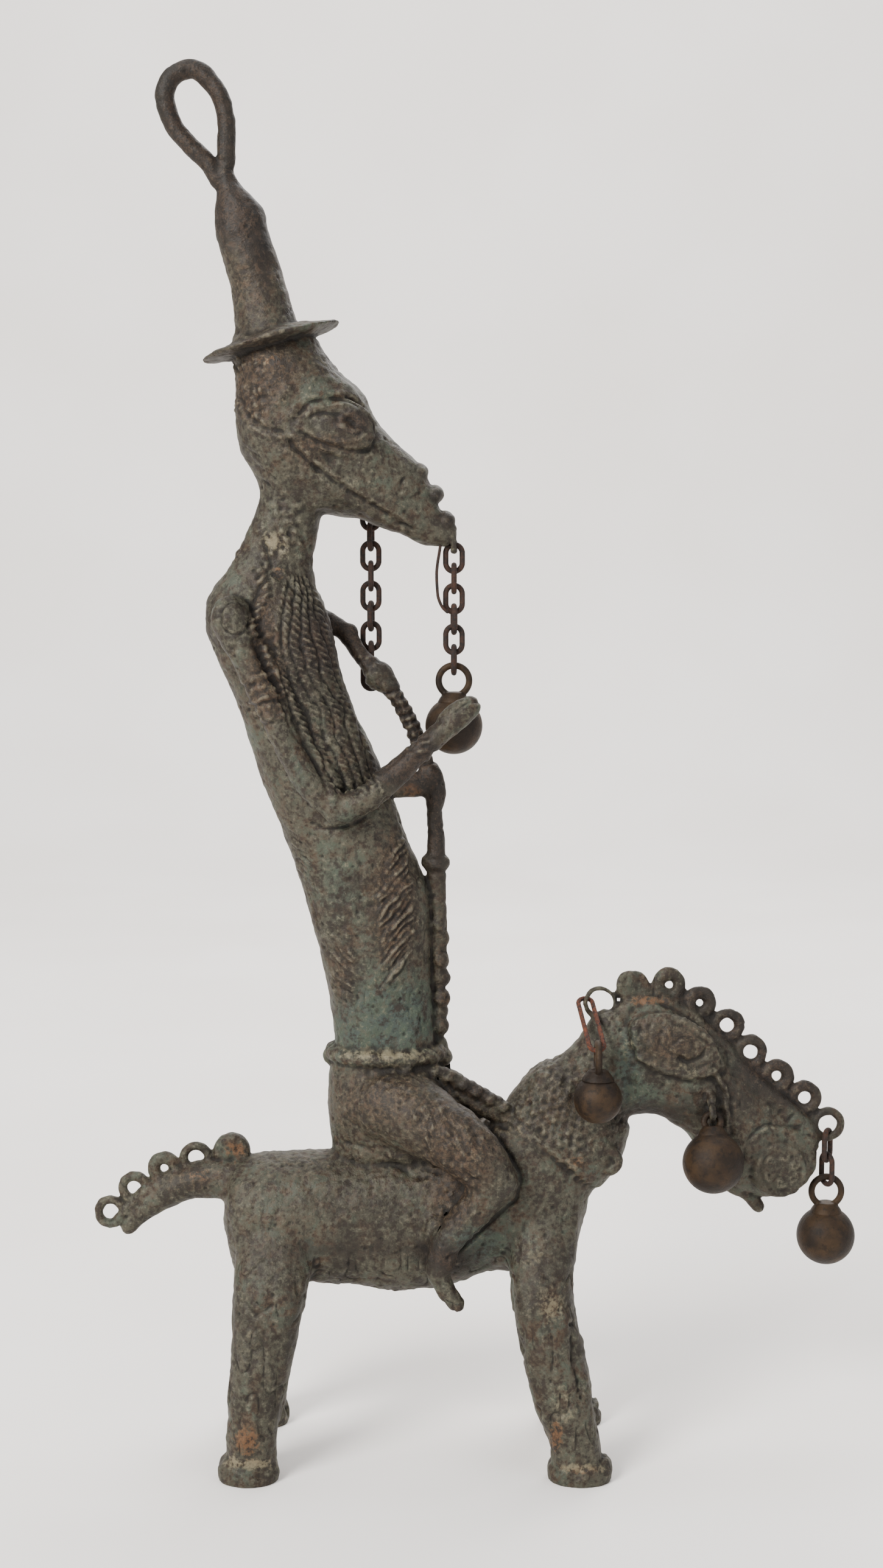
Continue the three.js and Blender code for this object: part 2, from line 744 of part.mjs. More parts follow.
// A bell is a hollow ball with a slit below and a cast loop on a short tapered neck above.
function bell(diameter, loopDiameter, turn) {
  const outer = new THREE.SphereGeometry(diameter / 2, 12, 6);
  const inner = new THREE.SphereGeometry(diameter / 2 - BELL_WALL, 8, 4);
  const loop = ringGeometry(loopDiameter, BELL_LOOP_ROD, turn);
  const neck = new THREE.CylinderGeometry(4.6, 7.4, NECK_HEIGHT, 7);
  for (const turned of [outer, inner, neck]) turned.rotateX(Math.PI / 2);
  neck.translate(0, 0, diameter / 2 + NECK_HEIGHT / 2 - 1.8);
  loop.translate(0, 0, loopRise(diameter, loopDiameter));
  const slit = new THREE.BoxGeometry(diameter * 0.8, BELL_SLIT, diameter / 2);
  slit.translate(0, 0, -diameter / 2);
  return toGeometry(joined([outer, loop, neck]).subtract(solid(inner)).subtract(solid(slit)));
}

// From the rod that carries a bell down to the ball's middle.
function bellDepth(rod, diameter, loopDiameter) {
  const loopTop = loopRise(diameter, loopDiameter) + (loopDiameter - BELL_LOOP_ROD) / 2;
  return loopTop - (rod + BELL_LOOP_ROD) / 2 - CLEARANCE;
}

// A bell hung from a rod. One that leans against the horse stands out by a lean towards the near side.
function hangBell(name, diameter, carrier, rod, { turn = 0, lean = 0, loop = BELL_LOOP_DIAMETER } = {}) {
  const place = carrier.clone().add(down(bellDepth(rod, diameter, loop), lean));
  const mesh = addPiece(name, bell(diameter, loop, turn), BELL_BRONZE, place);
  mesh.rotation.x = -lean;
}

const quarterTurns = (i) => (i % 2) * Math.PI / 2;

function hangFarChain() {
  const carrier = lowestRodOf(FAR_EYELET, EYELET_DIAMETER, EYELET_ROD);
  chain(numbered("far_chain_link", FAR_CHAIN_LINKS), carrier, EYELET_ROD, LINK_LENGTH, quarterTurns);
}

function hangChinChain() {
  const carrier = lowestRodOf(CHIN_EYELET, EYELET_DIAMETER, EYELET_ROD);
  const names = numbered("chin_chain_link", CHIN_CHAIN_LINKS);
  const end = chain(names, carrier, EYELET_ROD, LINK_LENGTH, quarterTurns);
  hangBell("chin_bell", CHIN_BELL_DIAMETER, end, LINK_WIRE);
}

function hangMuzzleBell() {
  const last = MANE_RING_COUNT - 1;
  const carrier = lowestRodOf(maneRingMiddle(last), MANE_RING_DIAMETER, maneRingRod(last));
  const third = Math.PI / 3;
  const names = numbered("muzzle_link", 2);
  const end = chain(names, carrier, maneRingRod(last), MUZZLE_LINK_LENGTH, (i) => third * (i + 1));
  hangBell("muzzle_bell", MUZZLE_BELL_DIAMETER, end, LINK_WIRE);
}

function hangJawBell() {
  const carrier = lowestRodOf(JAW_EYELET, EYELET_DIAMETER, EYELET_ROD, JAW_BELL_LEAN);
  const hang = { lean: JAW_BELL_LEAN, loop: JAW_BELL_LOOP_DIAMETER };
  hangBell("jaw_bell", JAW_BELL_DIAMETER, carrier, EYELET_ROD, hang);
}

// A thin wire beside the chin chain, from just under the chin to a hook at the third link.
const HOOK_ROUTE = [
  [-17.4, -3.4, 465.6], [-19.2, -3.6, 451.4], [-18.7, -3.6, 441.8], [-16.4, -3.4, 435.4],
  [-13.9, -3.2, 432.9],
];

function hangHook() {
  const rows = HOOK_ROUTE.map((point) => [...point, HOOK_WIRE / 2 / SCALE]);
  addPiece("chin_wire", limb(rows, { sides: 5 }), IRON_RUST);
}

// The long link grips the first mane ring's rider side and slants outwards past the neck.
function hangNeckBell() {
  const ringRadius = (MANE_RING_DIAMETER - maneRingRod(0)) / 2;
  const rodMiddle = maneRingMiddle(0).add(vec(-ringRadius, 0, 0));
  const along = vec(Math.sin(NECK_LINK_SWING), 0, -Math.cos(NECK_LINK_SWING));
  along.applyAxisAngle(vec(1, 0, 0), -NECK_LINK_SLANT);
  const depth = hangDepth(maneRingRod(0), LONG_LINK_LENGTH, LONG_LINK_WIRE) - NECK_LINK_PLAY;
  const middle = rodMiddle.clone().addScaledVector(along, depth);
  const longLink = link(LONG_LINK_LENGTH, LONG_LINK_WIDTH, LONG_LINK_WIRE).rotateY(-NECK_LINK_SWING);
  addPiece("neck_link", longLink, IRON_RUST, middle).rotation.x = -NECK_LINK_SLANT;
  const end = middle.clone().addScaledVector(along, (LONG_LINK_LENGTH - LONG_LINK_WIRE) / 2);
  const hang = { turn: Math.PI / 2, lean: NECK_BELL_LEAN };
  hangBell("neck_bell", NECK_BELL_DIAMETER, end, LONG_LINK_WIRE, hang);
}

addPiece("horse_and_rider", horseAndRider(), PATINA);
hangFarChain();
hangChinChain();
hangHook();
hangMuzzleBell();
hangJawBell();
hangNeckBell();

export default pieces;
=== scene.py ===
"""Looks of the horse and rider: a bronze casting with its relief, iron chains and round bells."""

from __future__ import annotations

import logging
import math
from dataclasses import dataclass, field
from enum import Enum
from typing import Any, Sequence

import bpy
import numpy as np
from bpy.types import Material, Mesh, Node, NodeSocket, NodeTree, Object
from mathutils import Euler, Matrix, Vector

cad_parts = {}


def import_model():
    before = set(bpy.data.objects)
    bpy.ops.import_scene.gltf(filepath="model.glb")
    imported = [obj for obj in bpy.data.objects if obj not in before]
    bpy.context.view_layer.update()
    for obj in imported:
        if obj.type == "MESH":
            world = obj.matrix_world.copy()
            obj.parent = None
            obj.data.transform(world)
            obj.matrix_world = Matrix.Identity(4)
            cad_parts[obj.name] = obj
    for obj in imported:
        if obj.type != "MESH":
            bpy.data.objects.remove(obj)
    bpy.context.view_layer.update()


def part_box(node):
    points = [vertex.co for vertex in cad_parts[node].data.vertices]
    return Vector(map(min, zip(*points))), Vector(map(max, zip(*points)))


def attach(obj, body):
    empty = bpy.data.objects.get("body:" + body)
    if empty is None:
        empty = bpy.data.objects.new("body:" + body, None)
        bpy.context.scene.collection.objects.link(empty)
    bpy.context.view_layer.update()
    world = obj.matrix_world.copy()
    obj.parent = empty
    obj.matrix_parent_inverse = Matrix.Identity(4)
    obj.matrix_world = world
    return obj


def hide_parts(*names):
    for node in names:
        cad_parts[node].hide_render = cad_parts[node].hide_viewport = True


LOG = logging.getLogger("statuette")
MM = 0.001
ROOT = "root"
FORM_SIDES = 44  # points round a section of a big form
LINK_POINTS = 56  # points along a chain link
WIRE_SIDES = 12  # points round its wire
CORNER_STEPS = 9  # points of a fillet that makes a link's round end
STRAND = (0.29, 0.33)  # half axes of a rope's strand as shares of the rope
ROUND_END = (0.35, 0.7, 1.05, 1.35)  # angles of the sections that round off a limb's end
SHRINK, SWELL = 0.5, -0.52  # shares of a smoothing step and of the one that swells back
QUARTER = math.pi / 2

Array = np.ndarray
Pair = tuple[float, float]
Triple = tuple[float, float, float]
Row = Sequence[float]
Table = Sequence[Row]
Path2 = Sequence[Pair]
Colour = tuple[float, float, float, float]


class Side(Enum):
    """Which flank of the statuette a relief is on."""

    NEAR = -1
    FAR = 1
    BOTH = 0


# Shapes in millimetres


def vectors(x: Any, y: Any, z: Any) -> Array:
    """Rows of x, y and z, each an array or one number for all."""
    return np.stack(np.broadcast_arrays(x, y, z), -1)


def along_rows(rows: Table, step: float, place: slice) -> Array:
    """Runs a smooth curve that never overshoots through rows of numbers.

    Args:
        rows: Rows of a loft or a limb.
        step: Distance between the new rows.
        place: Columns that say where a row is, whose distance sets the spacing.

    Returns:
        The new rows.
    """
    table = np.asarray(rows, float)
    lengths = np.linalg.norm(np.diff(table[:, place], axis=0), axis=1)
    key = np.concatenate([[0.0], np.cumsum(lengths)])
    gap = np.diff(key)[:, None]
    slope = np.diff(table, axis=0) / gap
    tangent = np.zeros_like(table)
    tangent[0], tangent[-1] = slope[0], slope[-1]
    if len(table) > 2:
        before, after = slope[:-1], slope[1:]
        weight_a, weight_b = 2 * gap[1:] + gap[:-1], gap[1:] + 2 * gap[:-1]
        same = before * after > 0
        safe_before, safe_after = np.where(same, before, 1.0), np.where(same, after, 1.0)
        mean = (weight_a + weight_b) / (weight_a / safe_before + weight_b / safe_after)
        tangent[1:-1] = np.where(same, mean, 0.0)
    wanted = np.linspace(0, key[-1], max(2, int(math.ceil(key[-1] / step)) + 1))
    span = np.clip(np.searchsorted(key, wanted, side="right") - 1, 0, len(gap) - 1)
    t = ((wanted - key[span]) / gap[span, 0])[:, None]
    h = gap[span]
    return (
        (2 * t**3 - 3 * t**2 + 1) * table[span]
        + (t**3 - 2 * t**2 + t) * h * tangent[span]
        + (3 * t**2 - 2 * t**3) * table[span + 1]
        + (t**3 - t**2) * h * tangent[span + 1]
    )


@dataclass
class Shell:
    """A closed surface: points in millimetres and faces by point number."""

    points: Array
    faces: list[tuple[int, ...]]

    @classmethod
    def of_rings(cls, rings: Array) -> Shell:
        """Closes a skin over rings of points, with a point in the middle of each end.

        Args:
            rings: Array of rings, sides and coordinates.

        Returns:
            The shell, facing outwards.
        """
        count, sides = rings.shape[:2]
        index = np.arange(count * sides).reshape(count, sides)
        turned = np.roll(index, -1, axis=1)
        quads = np.stack([index[:-1], turned[:-1], turned[1:], index[1:]], -1).reshape(-1, 4)
        first, last = count * sides, count * sides + 1
        faces = [tuple(q) for q in quads.tolist()]
        faces += [(first, int(b), int(a)) for a, b in zip(index[0], turned[0])]
        faces += [(last, int(a), int(b)) for a, b in zip(index[-1], turned[-1])]
        points = np.vstack([rings.reshape(-1, 3), rings[0].mean(0), rings[-1].mean(0)])
        return cls(points, faces).outwards()

    @classmethod
    def of_loop(cls, rings: Array) -> Shell:
        """Closes a skin over rings that run round and meet again."""
        count, sides = rings.shape[:2]
        index = np.arange(count * sides).reshape(count, sides)
        turned = np.roll(index, -1, axis=1)
        above = [np.roll(turned, -1, axis=0), np.roll(index, -1, axis=0)]
        quads = np.stack([index, turned, *above], -1).reshape(-1, 4)
        return cls(rings.reshape(-1, 3), [tuple(q) for q in quads.tolist()]).outwards()

    def outwards(self) -> Shell:
        """Turns the faces outwards."""
        volume = 0.0
        for face in self.faces:
            a = self.points[face[0]]
            for i in range(1, len(face) - 1):
                b, c = self.points[face[i]], self.points[face[i + 1]]
                volume += a[0] * (b[1] * c[2] - b[2] * c[1]) + a[1] * (b[2] * c[0] - b[0] * c[2])
                volume += a[2] * (b[0] * c[1] - b[1] * c[0])
        if volume < 0:
            self.faces = [tuple(reversed(face)) for face in self.faces]
        return self

    def moved(self, x: float, y: float, z: float) -> Shell:
        """Moves the shell."""
        return Shell(self.points + np.array([x, y, z]), self.faces)

    def turned(self, angle: float, axis: str) -> Shell:
        """Turns the shell about an axis through the origin."""
        matrix = np.array(Matrix.Rotation(angle, 3, axis))
        return Shell(self.points @ matrix.T, self.faces)

    def sized(self, x: float, y: float, z: float) -> Shell:
        """Stretches the shell along each axis."""
        return Shell(self.points * np.array([x, y, z]), self.faces).outwards()

    def mirrored(self) -> Shell:
        """The same shell on the other flank."""
        return self.sized(1, -1, 1)


def superellipse(
    middles: Array, half_a: Array, half_b: Array, sides: int, fullness: float = 2.0
) -> Array:
    """Rings round middles from two half axes. A fullness of 2 is an ellipse, more is squarer."""
    angle = np.arange(sides) * 2 * math.pi / sides
    c, s = np.cos(angle), np.sin(angle)
    u = np.sign(c) * np.abs(c) ** (2 / fullness)
    v = np.sign(s) * np.abs(s) ** (2 / fullness)
    return (
        middles[:, None] + half_a[:, None] * u[None, :, None] + half_b[:, None] * v[None, :, None]
    )


def level_form(rows: Table, fullness: float = 2.3, track: float = 0.0, step: float = 3.0) -> Shell:
    """A form of level sections.

    Args:
        rows: Height, back, front, half width, and the middle's offset as a share of the track.
        fullness: Shape of the sections.
        track: Side offset of a share of one.
        step: Distance between sections.

    Returns:
        The closed form.
    """
    padded = [list(row) + [0.0] * (5 - len(row)) for row in rows]
    z, back, front, half, share = along_rows(padded, step, slice(0, 1)).T
    return Shell.of_rings(superellipse(
        vectors((back + front) / 2, share * track, z),
        vectors((front - back) / 2, 0, 0), vectors(0, half, 0), FORM_SIDES, fullness,
    ))


def length_form(rows: Table, fullness: float = 2.3, step: float = 3.0) -> Shell:
    """A form of upright sections across the length: x, underside, top and half width."""
    x, low, high, half = along_rows(rows, step, slice(0, 1)).T
    return Shell.of_rings(superellipse(
        vectors(x, 0, (low + high) / 2),
        vectors(0, 0, (high - low) / 2), vectors(0, half, 0), FORM_SIDES, fullness,
    ))


def limb(rows: Table, sides: int = 20, step: float = 1.6) -> Shell:
    """A limb or rod with round ends.

    Args:
        rows: Points of x, y, z and radius.
        sides: Points round each section.
        step: Distance between sections.

    Returns:
        The closed limb.
    """
    table = along_rows(rows, step, slice(0, 3))
    points, radii = table[:, :3], table[:, 3]
    along = np.gradient(points, axis=0)
    along /= np.linalg.norm(along, axis=1)[:, None]
    across = np.zeros_like(points)
    last = np.array([0.0, 1.0, 0.0])
    for i, direction in enumerate(along):
        last = last - direction * last.dot(direction)
        last = last / np.linalg.norm(last)
        across[i] = last
    up = np.cross(along, across)
    middles, sizes = list(points), list(radii)
    axes = [(across[i], up[i]) for i in range(len(points))]
    for angle in ROUND_END:
        reach, shrink = math.sin(angle), math.cos(angle)
        middles.insert(0, points[0] - along[0] * radii[0] * reach)
        sizes.insert(0, radii[0] * shrink)
        axes.insert(0, (across[0], up[0]))
        middles.append(points[-1] + along[-1] * radii[-1] * reach)
        sizes.append(radii[-1] * shrink)
        axes.append((across[-1], up[-1]))
    half_a = np.array([a[0] * size for a, size in zip(axes, sizes)])
    half_b = np.array([a[1] * size for a, size in zip(axes, sizes)])
    return Shell.of_rings(superellipse(np.array(middles), half_a, half_b, sides))


def ball(
    x: float, y: float, z: float, rx: float, ry: float, rz: float, turn: float = 0.0
) -> Shell:
    """An egg shape, turned about Y."""
    latitude = np.linspace(-QUARTER, QUARTER, 26)[1:-1]
    height, reach = np.sin(latitude), np.cos(latitude)
    rings = superellipse(vectors(0, 0, height), vectors(reach, 0, 0), vectors(0, reach, 0), 32)
    return Shell.of_rings(rings).sized(rx, ry, rz).turned(-turn, "Y").moved(x, y, z)


def torus(
    outer: float, rod: float, thick: float | None = None, steps: int = 48, sides: int = 20
) -> Shell:
    """A ring that stands in the XZ plane: outer diameter, rod, and its thickness along Y."""
    angle = np.arange(steps) * 2 * math.pi / steps
    out = vectors(np.cos(angle), 0, np.sin(angle))
    half_b = np.tile([0.0, (thick or rod) / 2, 0.0], (steps, 1))
    return Shell.of_loop(superellipse(out * (outer - rod) / 2, out * rod / 2, half_b, sides))


def turned_form(profile: Path2, steps: int = 64) -> Shell:
    """A form turned about Z from a profile of radius and height."""
    radius, height = along_rows(profile, 1.0, slice(0, 2)).T
    radius = np.maximum(radius, 0.02)
    return Shell.of_rings(superellipse(
        vectors(0, 0, height), vectors(radius, 0, 0), vectors(0, radius, 0), steps
    ))


def oval(
    x: float, z: float, half_x: float, half_z: float, steps: int, end: float = 2 * math.pi
) -> Path2:
    """Points round a middle up to an angle, for lines and outlines on the side view."""
    turns = np.linspace(0, end, steps)
    return [(x + half_x * math.cos(a), z + half_z * math.sin(a)) for a in turns]


def twisted_rope(
    path: Array, rod: float, pitch: float, strands: int, closed: bool, apart: float
) -> list[Shell]:
    """Strands twisted round a path.

    Args:
        path: Points of the rope's middle line, evenly spaced.
        rod: Diameter of the whole rope.
        pitch: Length of one turn.
        strands: Number of strands.
        closed: Whether the path meets itself.
        apart: How far the strands stand from the middle line, as a share of the rod.

    Returns:
        One shell for each strand.
    """
    if closed:
        along = np.roll(path, -1, axis=0) - np.roll(path, 1, axis=0)
    else:
        along = np.gradient(path, axis=0)
    along = along / np.linalg.norm(along, axis=1)[:, None]
    spacing = np.linalg.norm(np.diff(path, axis=0), axis=1).mean()
    total = spacing * (len(path) - (0 if closed else 1))
    turns = max(1, round(total / pitch)) if closed else total / pitch
    start = np.array([0.0, 0.0, 1.0]) if abs(along[0][2]) < 0.8 else np.array([0.0, 1.0, 0.0])
    across = start - along * (along @ start)[:, None]
    across = across / np.linalg.norm(across, axis=1)[:, None]
    up = np.cross(along, across)
    shells = []
    for k in range(strands):
        angle = 2 * math.pi * (np.arange(len(path)) / len(path) * turns + k / strands)
        out = across * np.cos(angle)[:, None] + up * np.sin(angle)[:, None]
        side = np.cross(along, out)
        middles = path + out * rod * apart
        rings = superellipse(middles, out * rod * STRAND[0], side * rod * STRAND[1], 14)
        shells.append(Shell.of_loop(rings) if closed else Shell.of_rings(rings))
    return shells


# Meshes


def placed(name: str, data: Any) -> Object:
    """Makes an object of a mesh, lamp or camera and puts it in the scene."""
    item = bpy.data.objects.new(name, data)
    bpy.context.scene.collection.objects.link(item)
    return item


def new_piece(name: str, points: Array, faces: Sequence[Any]) -> Object:
    """Makes a smooth shaded object of points in metres and faces."""
    mesh = bpy.data.meshes.new(name)
    mesh.from_pydata(points.tolist(), [], faces)
    mesh.polygons.foreach_set("use_smooth", np.ones(len(mesh.polygons), bool))
    mesh.update()
    return placed(name, mesh)


def mesh_of(name: str, shells: Sequence[Shell]) -> Object:
    """Makes one object of closed shells in millimetres."""
    faces, start = [], 0
    for shell in shells:
        faces.extend(tuple(i + start for i in face) for face in shell.faces)
        start += len(shell.points)
    return new_piece(name, np.vstack([shell.points for shell in shells]) * MM, faces)


def numbers(items: Any, key: str, width: int = 1, kind: type = np.float32) -> Array:
    """Reads one property of all a mesh's items, as a row of numbers or as rows of a width."""
    flat = np.empty(len(items) * width, kind)
    items.foreach_get(key, flat)
    return flat if width == 1 else flat.reshape(-1, width)


def joined(name: str, pieces: Sequence[Object]) -> Object:
    """Joins objects into one."""
    points, faces, start = [], [], 0
    for piece in pieces:
        points.append(numbers(piece.data.vertices, "co", 3))
        faces.extend(tuple(i + start for i in face.vertices) for face in piece.data.polygons)
        start += len(piece.data.vertices)
        bpy.data.objects.remove(piece)
    return new_piece(name, np.vstack(points), faces)


def evaluated(piece: Object) -> Object:
    """Turns a piece with its modifiers into a plain mesh and takes the modifiers off."""
    graph = bpy.context.evaluated_depsgraph_get()
    mesh = bpy.data.meshes.new_from_object(piece.evaluated_get(graph))
    piece.modifiers.clear()
    old = piece.data
    piece.data = mesh
    if old.users == 0:
        bpy.data.meshes.remove(old)
    return piece


def fused(piece: Object, voxel: float) -> Object:
    """Melts overlapping shells into one skin of a voxel size in millimetres."""
    modifier = piece.modifiers.new("melt", "REMESH")
    modifier.mode = "VOXEL"
    modifier.voxel_size = voxel * MM
    modifier.use_smooth_shade = True
    return evaluated(piece)


@dataclass
class Skin:
    """Arrays of a mesh in millimetres, for shaping in numpy."""

    mesh: Mesh
    points: Array = field(init=False)
    edges: Array = field(init=False)
    degree: Array = field(init=False)

    def __post_init__(self) -> None:
        """Reads the mesh."""
        self.points = numbers(self.mesh.vertices, "co", 3).astype(float) / MM
        self.edges = numbers(self.mesh.edges, "vertices", 2, np.int32)
        self.degree = np.bincount(self.edges.ravel(), minlength=len(self.points)).astype(float)

    def neighbour_mean(self, values: Array) -> Array:
        """Mean of each point's neighbours, for one value or three."""
        table = values.reshape(len(values), -1)
        a, b = self.edges.T
        count = len(values)
        sums = [
            np.bincount(a, column[b], count) + np.bincount(b, column[a], count)
            for column in table.T
        ]
        return (np.stack(sums, -1) / self.degree[:, None]).reshape(values.shape)

    def relax(self, rounds: int) -> None:
        """Smooths the points, each round followed by one that swells them back."""
        for _ in range(rounds):
            for share in (SHRINK, SWELL):
                self.points += share * (self.neighbour_mean(self.points) - self.points)

    def melt(self, weight: Array, rounds: int) -> None:
        """Smooths the points by a weight, so that forms flow into each other there."""
        for _ in range(rounds):
            step = self.neighbour_mean(self.points) - self.points
            self.points += SHRINK * weight[:, None] * step

    def write(self) -> None:
        """Puts the points back into the mesh."""
        self.mesh.vertices.foreach_set("co", (self.points * MM).astype(np.float32).ravel())
        self.mesh.update()

    def normals(self) -> Array:
        """The points' normals."""
        return numbers(self.mesh.vertex_normals, "vector", 3).astype(float)


class Grain:
    """A smooth random field in space, the same on every run."""

    SIZE = 48

    def __init__(self, seed: int) -> None:
        """Fills the lattice from a seed."""
        self.table = np.random.default_rng(seed).uniform(-1, 1, (self.SIZE,) * 3)

    def at(self, points: Array, size: float) -> Array:
        """Values from -1 to 1 at points, whose lumps are of a size in millimetres."""
        place = points / size
        cell = np.floor(place).astype(int)
        t = place - cell
        t = t * t * (3 - 2 * t)
        total = np.zeros(len(points))
        for corner in np.ndindex(2, 2, 2):
            weight = np.ones(len(points))
            for axis in range(3):
                weight *= t[:, axis] if corner[axis] else 1 - t[:, axis]
            i, j, k = ((cell + corner) % self.SIZE).T
            total += weight * self.table[i, j, k]
        return total

    def pebbles(self, points: Array, size: float) -> Array:
        """Distance to the nearest scattered point, as a share of a size, from 0 up to about 1."""
        place = points / size
        cell = np.floor(place).astype(int)
        best = np.full(len(points), 9.0)
        for corner in np.ndindex(3, 3, 3):
            at = cell + np.array(corner) - 1
            i, j, k = (at % self.SIZE).T
            shift = vectors(self.table[i, j, k], self.table[j, k, i], self.table[k, i, j])
            best = np.minimum(best, np.linalg.norm(at + (shift * 0.4 + 0.5) - place, axis=1))
        return best


# Relief drawn on the side view

EYE_POINT = (-16.8, -1145.0, 478.1)


def side_view(points: Array) -> tuple[Array, Array]:
    """Where points show on the middle plane from the viewing point, the far flank mirrored."""
    depth = (abs(EYE_POINT[1]) - np.abs(points[:, 1])) / abs(EYE_POINT[1])
    u = EYE_POINT[0] + (points[:, 0] - EYE_POINT[0]) / depth
    v = EYE_POINT[2] + (points[:, 2] - EYE_POINT[2]) / depth
    return u, v


def smooth_step(low: float, high: float, value: Array) -> Array:
    """0 below low, 1 above high, and smooth between."""
    t = np.clip((value - low) / (high - low), 0, 1)
    return t * t * (3 - 2 * t)


def path_distance(u: Array, v: Array, path: Array) -> Array:
    """Distance of points to a path of straight pieces."""
    best = np.full(len(u), 1e9)
    for (x0, y0), (x1, y1) in zip(path[:-1], path[1:]):
        dx, dy = x1 - x0, y1 - y0
        t = np.clip(((u - x0) * dx + (v - y0) * dy) / max(dx * dx + dy * dy, 1e-9), 0, 1)
        best = np.minimum(best, np.hypot(u - x0 - t * dx, v - y0 - t * dy))
    return best


def within(u: Array, v: Array, outline: Array) -> Array:
    """Whether points lie inside an outline."""
    inside = np.zeros(len(u), bool)
    rolled = np.roll(outline, -1, axis=0)
    for (x0, y0), (x1, y1) in zip(outline, rolled):
        crosses = (y0 > v) != (y1 > v)
        inside ^= crosses & (u < (x1 - x0) * (v - y0) / (y1 - y0 + 1e-12) + x0)
    return inside


@dataclass
class Relief:
    """Heights along the surface's normals, drawn on the side view."""

    points: Array
    normals: Array
    depth: float = 0.95
    waver: float = 0.5
    gain: float = 1.0
    u: Array = field(init=False)
    v: Array = field(init=False)
    facing: Array = field(init=False)
    uneven: Array = field(init=False)
    height: Array = field(init=False)

    def __post_init__(self) -> None:
        """Works out the side view, wavering like hand-drawn wax threads."""
        grain = Grain(21)
        across, up = (
            self.waver * (grain.at(place, 5.2) + 0.4 * grain.at(place, 2.3))
            for place in (self.points, self.points + 60)
        )
        self.u, self.v = side_view(self.points)
        self.u, self.v = self.u + across, self.v + up
        self.facing = smooth_step(0.12, 0.45, np.abs(self.normals[:, 1]))
        self.uneven = self.depth * (0.85 + 0.6 * grain.at(self.points + 23, 4.2))
        self.height = np.zeros(len(self.points))

    def near_to(self, path: Array, reach: float, side: Side) -> Array:
        """Numbers of the points in a path's box on the given side."""
        low, high = path.min(0) - reach, path.max(0) + reach
        mask = (self.u > low[0]) & (self.u < high[0]) & (self.v > low[1]) & (self.v < high[1])
        if side is not Side.BOTH:
            mask &= self.points[:, 1] * side.value > 0
        return np.flatnonzero(mask)

    def lines(
        self, strokes: Sequence[Sequence[Any]], side: Side = Side.BOTH, all_round: bool = False
    ) -> None:
        """Adds lines, each given as half width, height and the points of its path."""
        for width, height, *path in strokes:
            self.line(path, width, height, side, all_round=all_round)

    def line(
        self, path: Path2, width: float, height: float, side: Side = Side.BOTH,
        closed: bool = False, all_round: bool = False,
    ) -> None:
        """Adds a ridge, or a groove where the height is negative, along a smooth path.

        Args:
            path: Points on the side view.
            width: Half width of the line.
            height: Height of the ridge.
            side: Flank that has it.
            closed: Whether the path meets itself.
            all_round: Whether it stays as high where the surface turns away.
        """
        rows = list(path) + ([path[0]] if closed else [])
        curve = along_rows(rows, 1.5, slice(0, 2)) if len(rows) > 2 else np.asarray(rows, float)
        chosen = self.near_to(curve, width * 3, side)
        distance = path_distance(self.u[chosen], self.v[chosen], curve)
        fade = 1.0 if all_round else self.facing[chosen]
        rise = height * self.gain * self.uneven[chosen] * np.exp(-((distance / width) ** 2))
        self.height[chosen] += rise * fade

    def spot(self, x: float, y: float, radius: float, height: float, sharp: float = 2.0) -> None:
        """Adds a round swelling or pit on both flanks."""
        chosen = self.near_to(np.array([[x, y]]), radius * 2, Side.BOTH)
        distance = np.hypot(self.u[chosen] - x, self.v[chosen] - y)
        rise = height * self.gain * self.uneven[chosen] * np.exp(-((distance / radius) ** sharp))
        self.height[chosen] += rise * self.facing[chosen]

    def patch(self, outline: Path2, soft: float, side: Side = Side.BOTH) -> tuple[Array, Array]:
        """The points inside an outline, and their depth in it up to 1 at a soft distance."""
        shape = np.asarray(outline, float)
        chosen = self.near_to(shape, 0.0, side)
        chosen = chosen[within(self.u[chosen], self.v[chosen], shape)]
        distance = path_distance(self.u[chosen], self.v[chosen], np.vstack([shape, shape[:1]]))
        return chosen, smooth_step(0, soft, distance)


# The casting


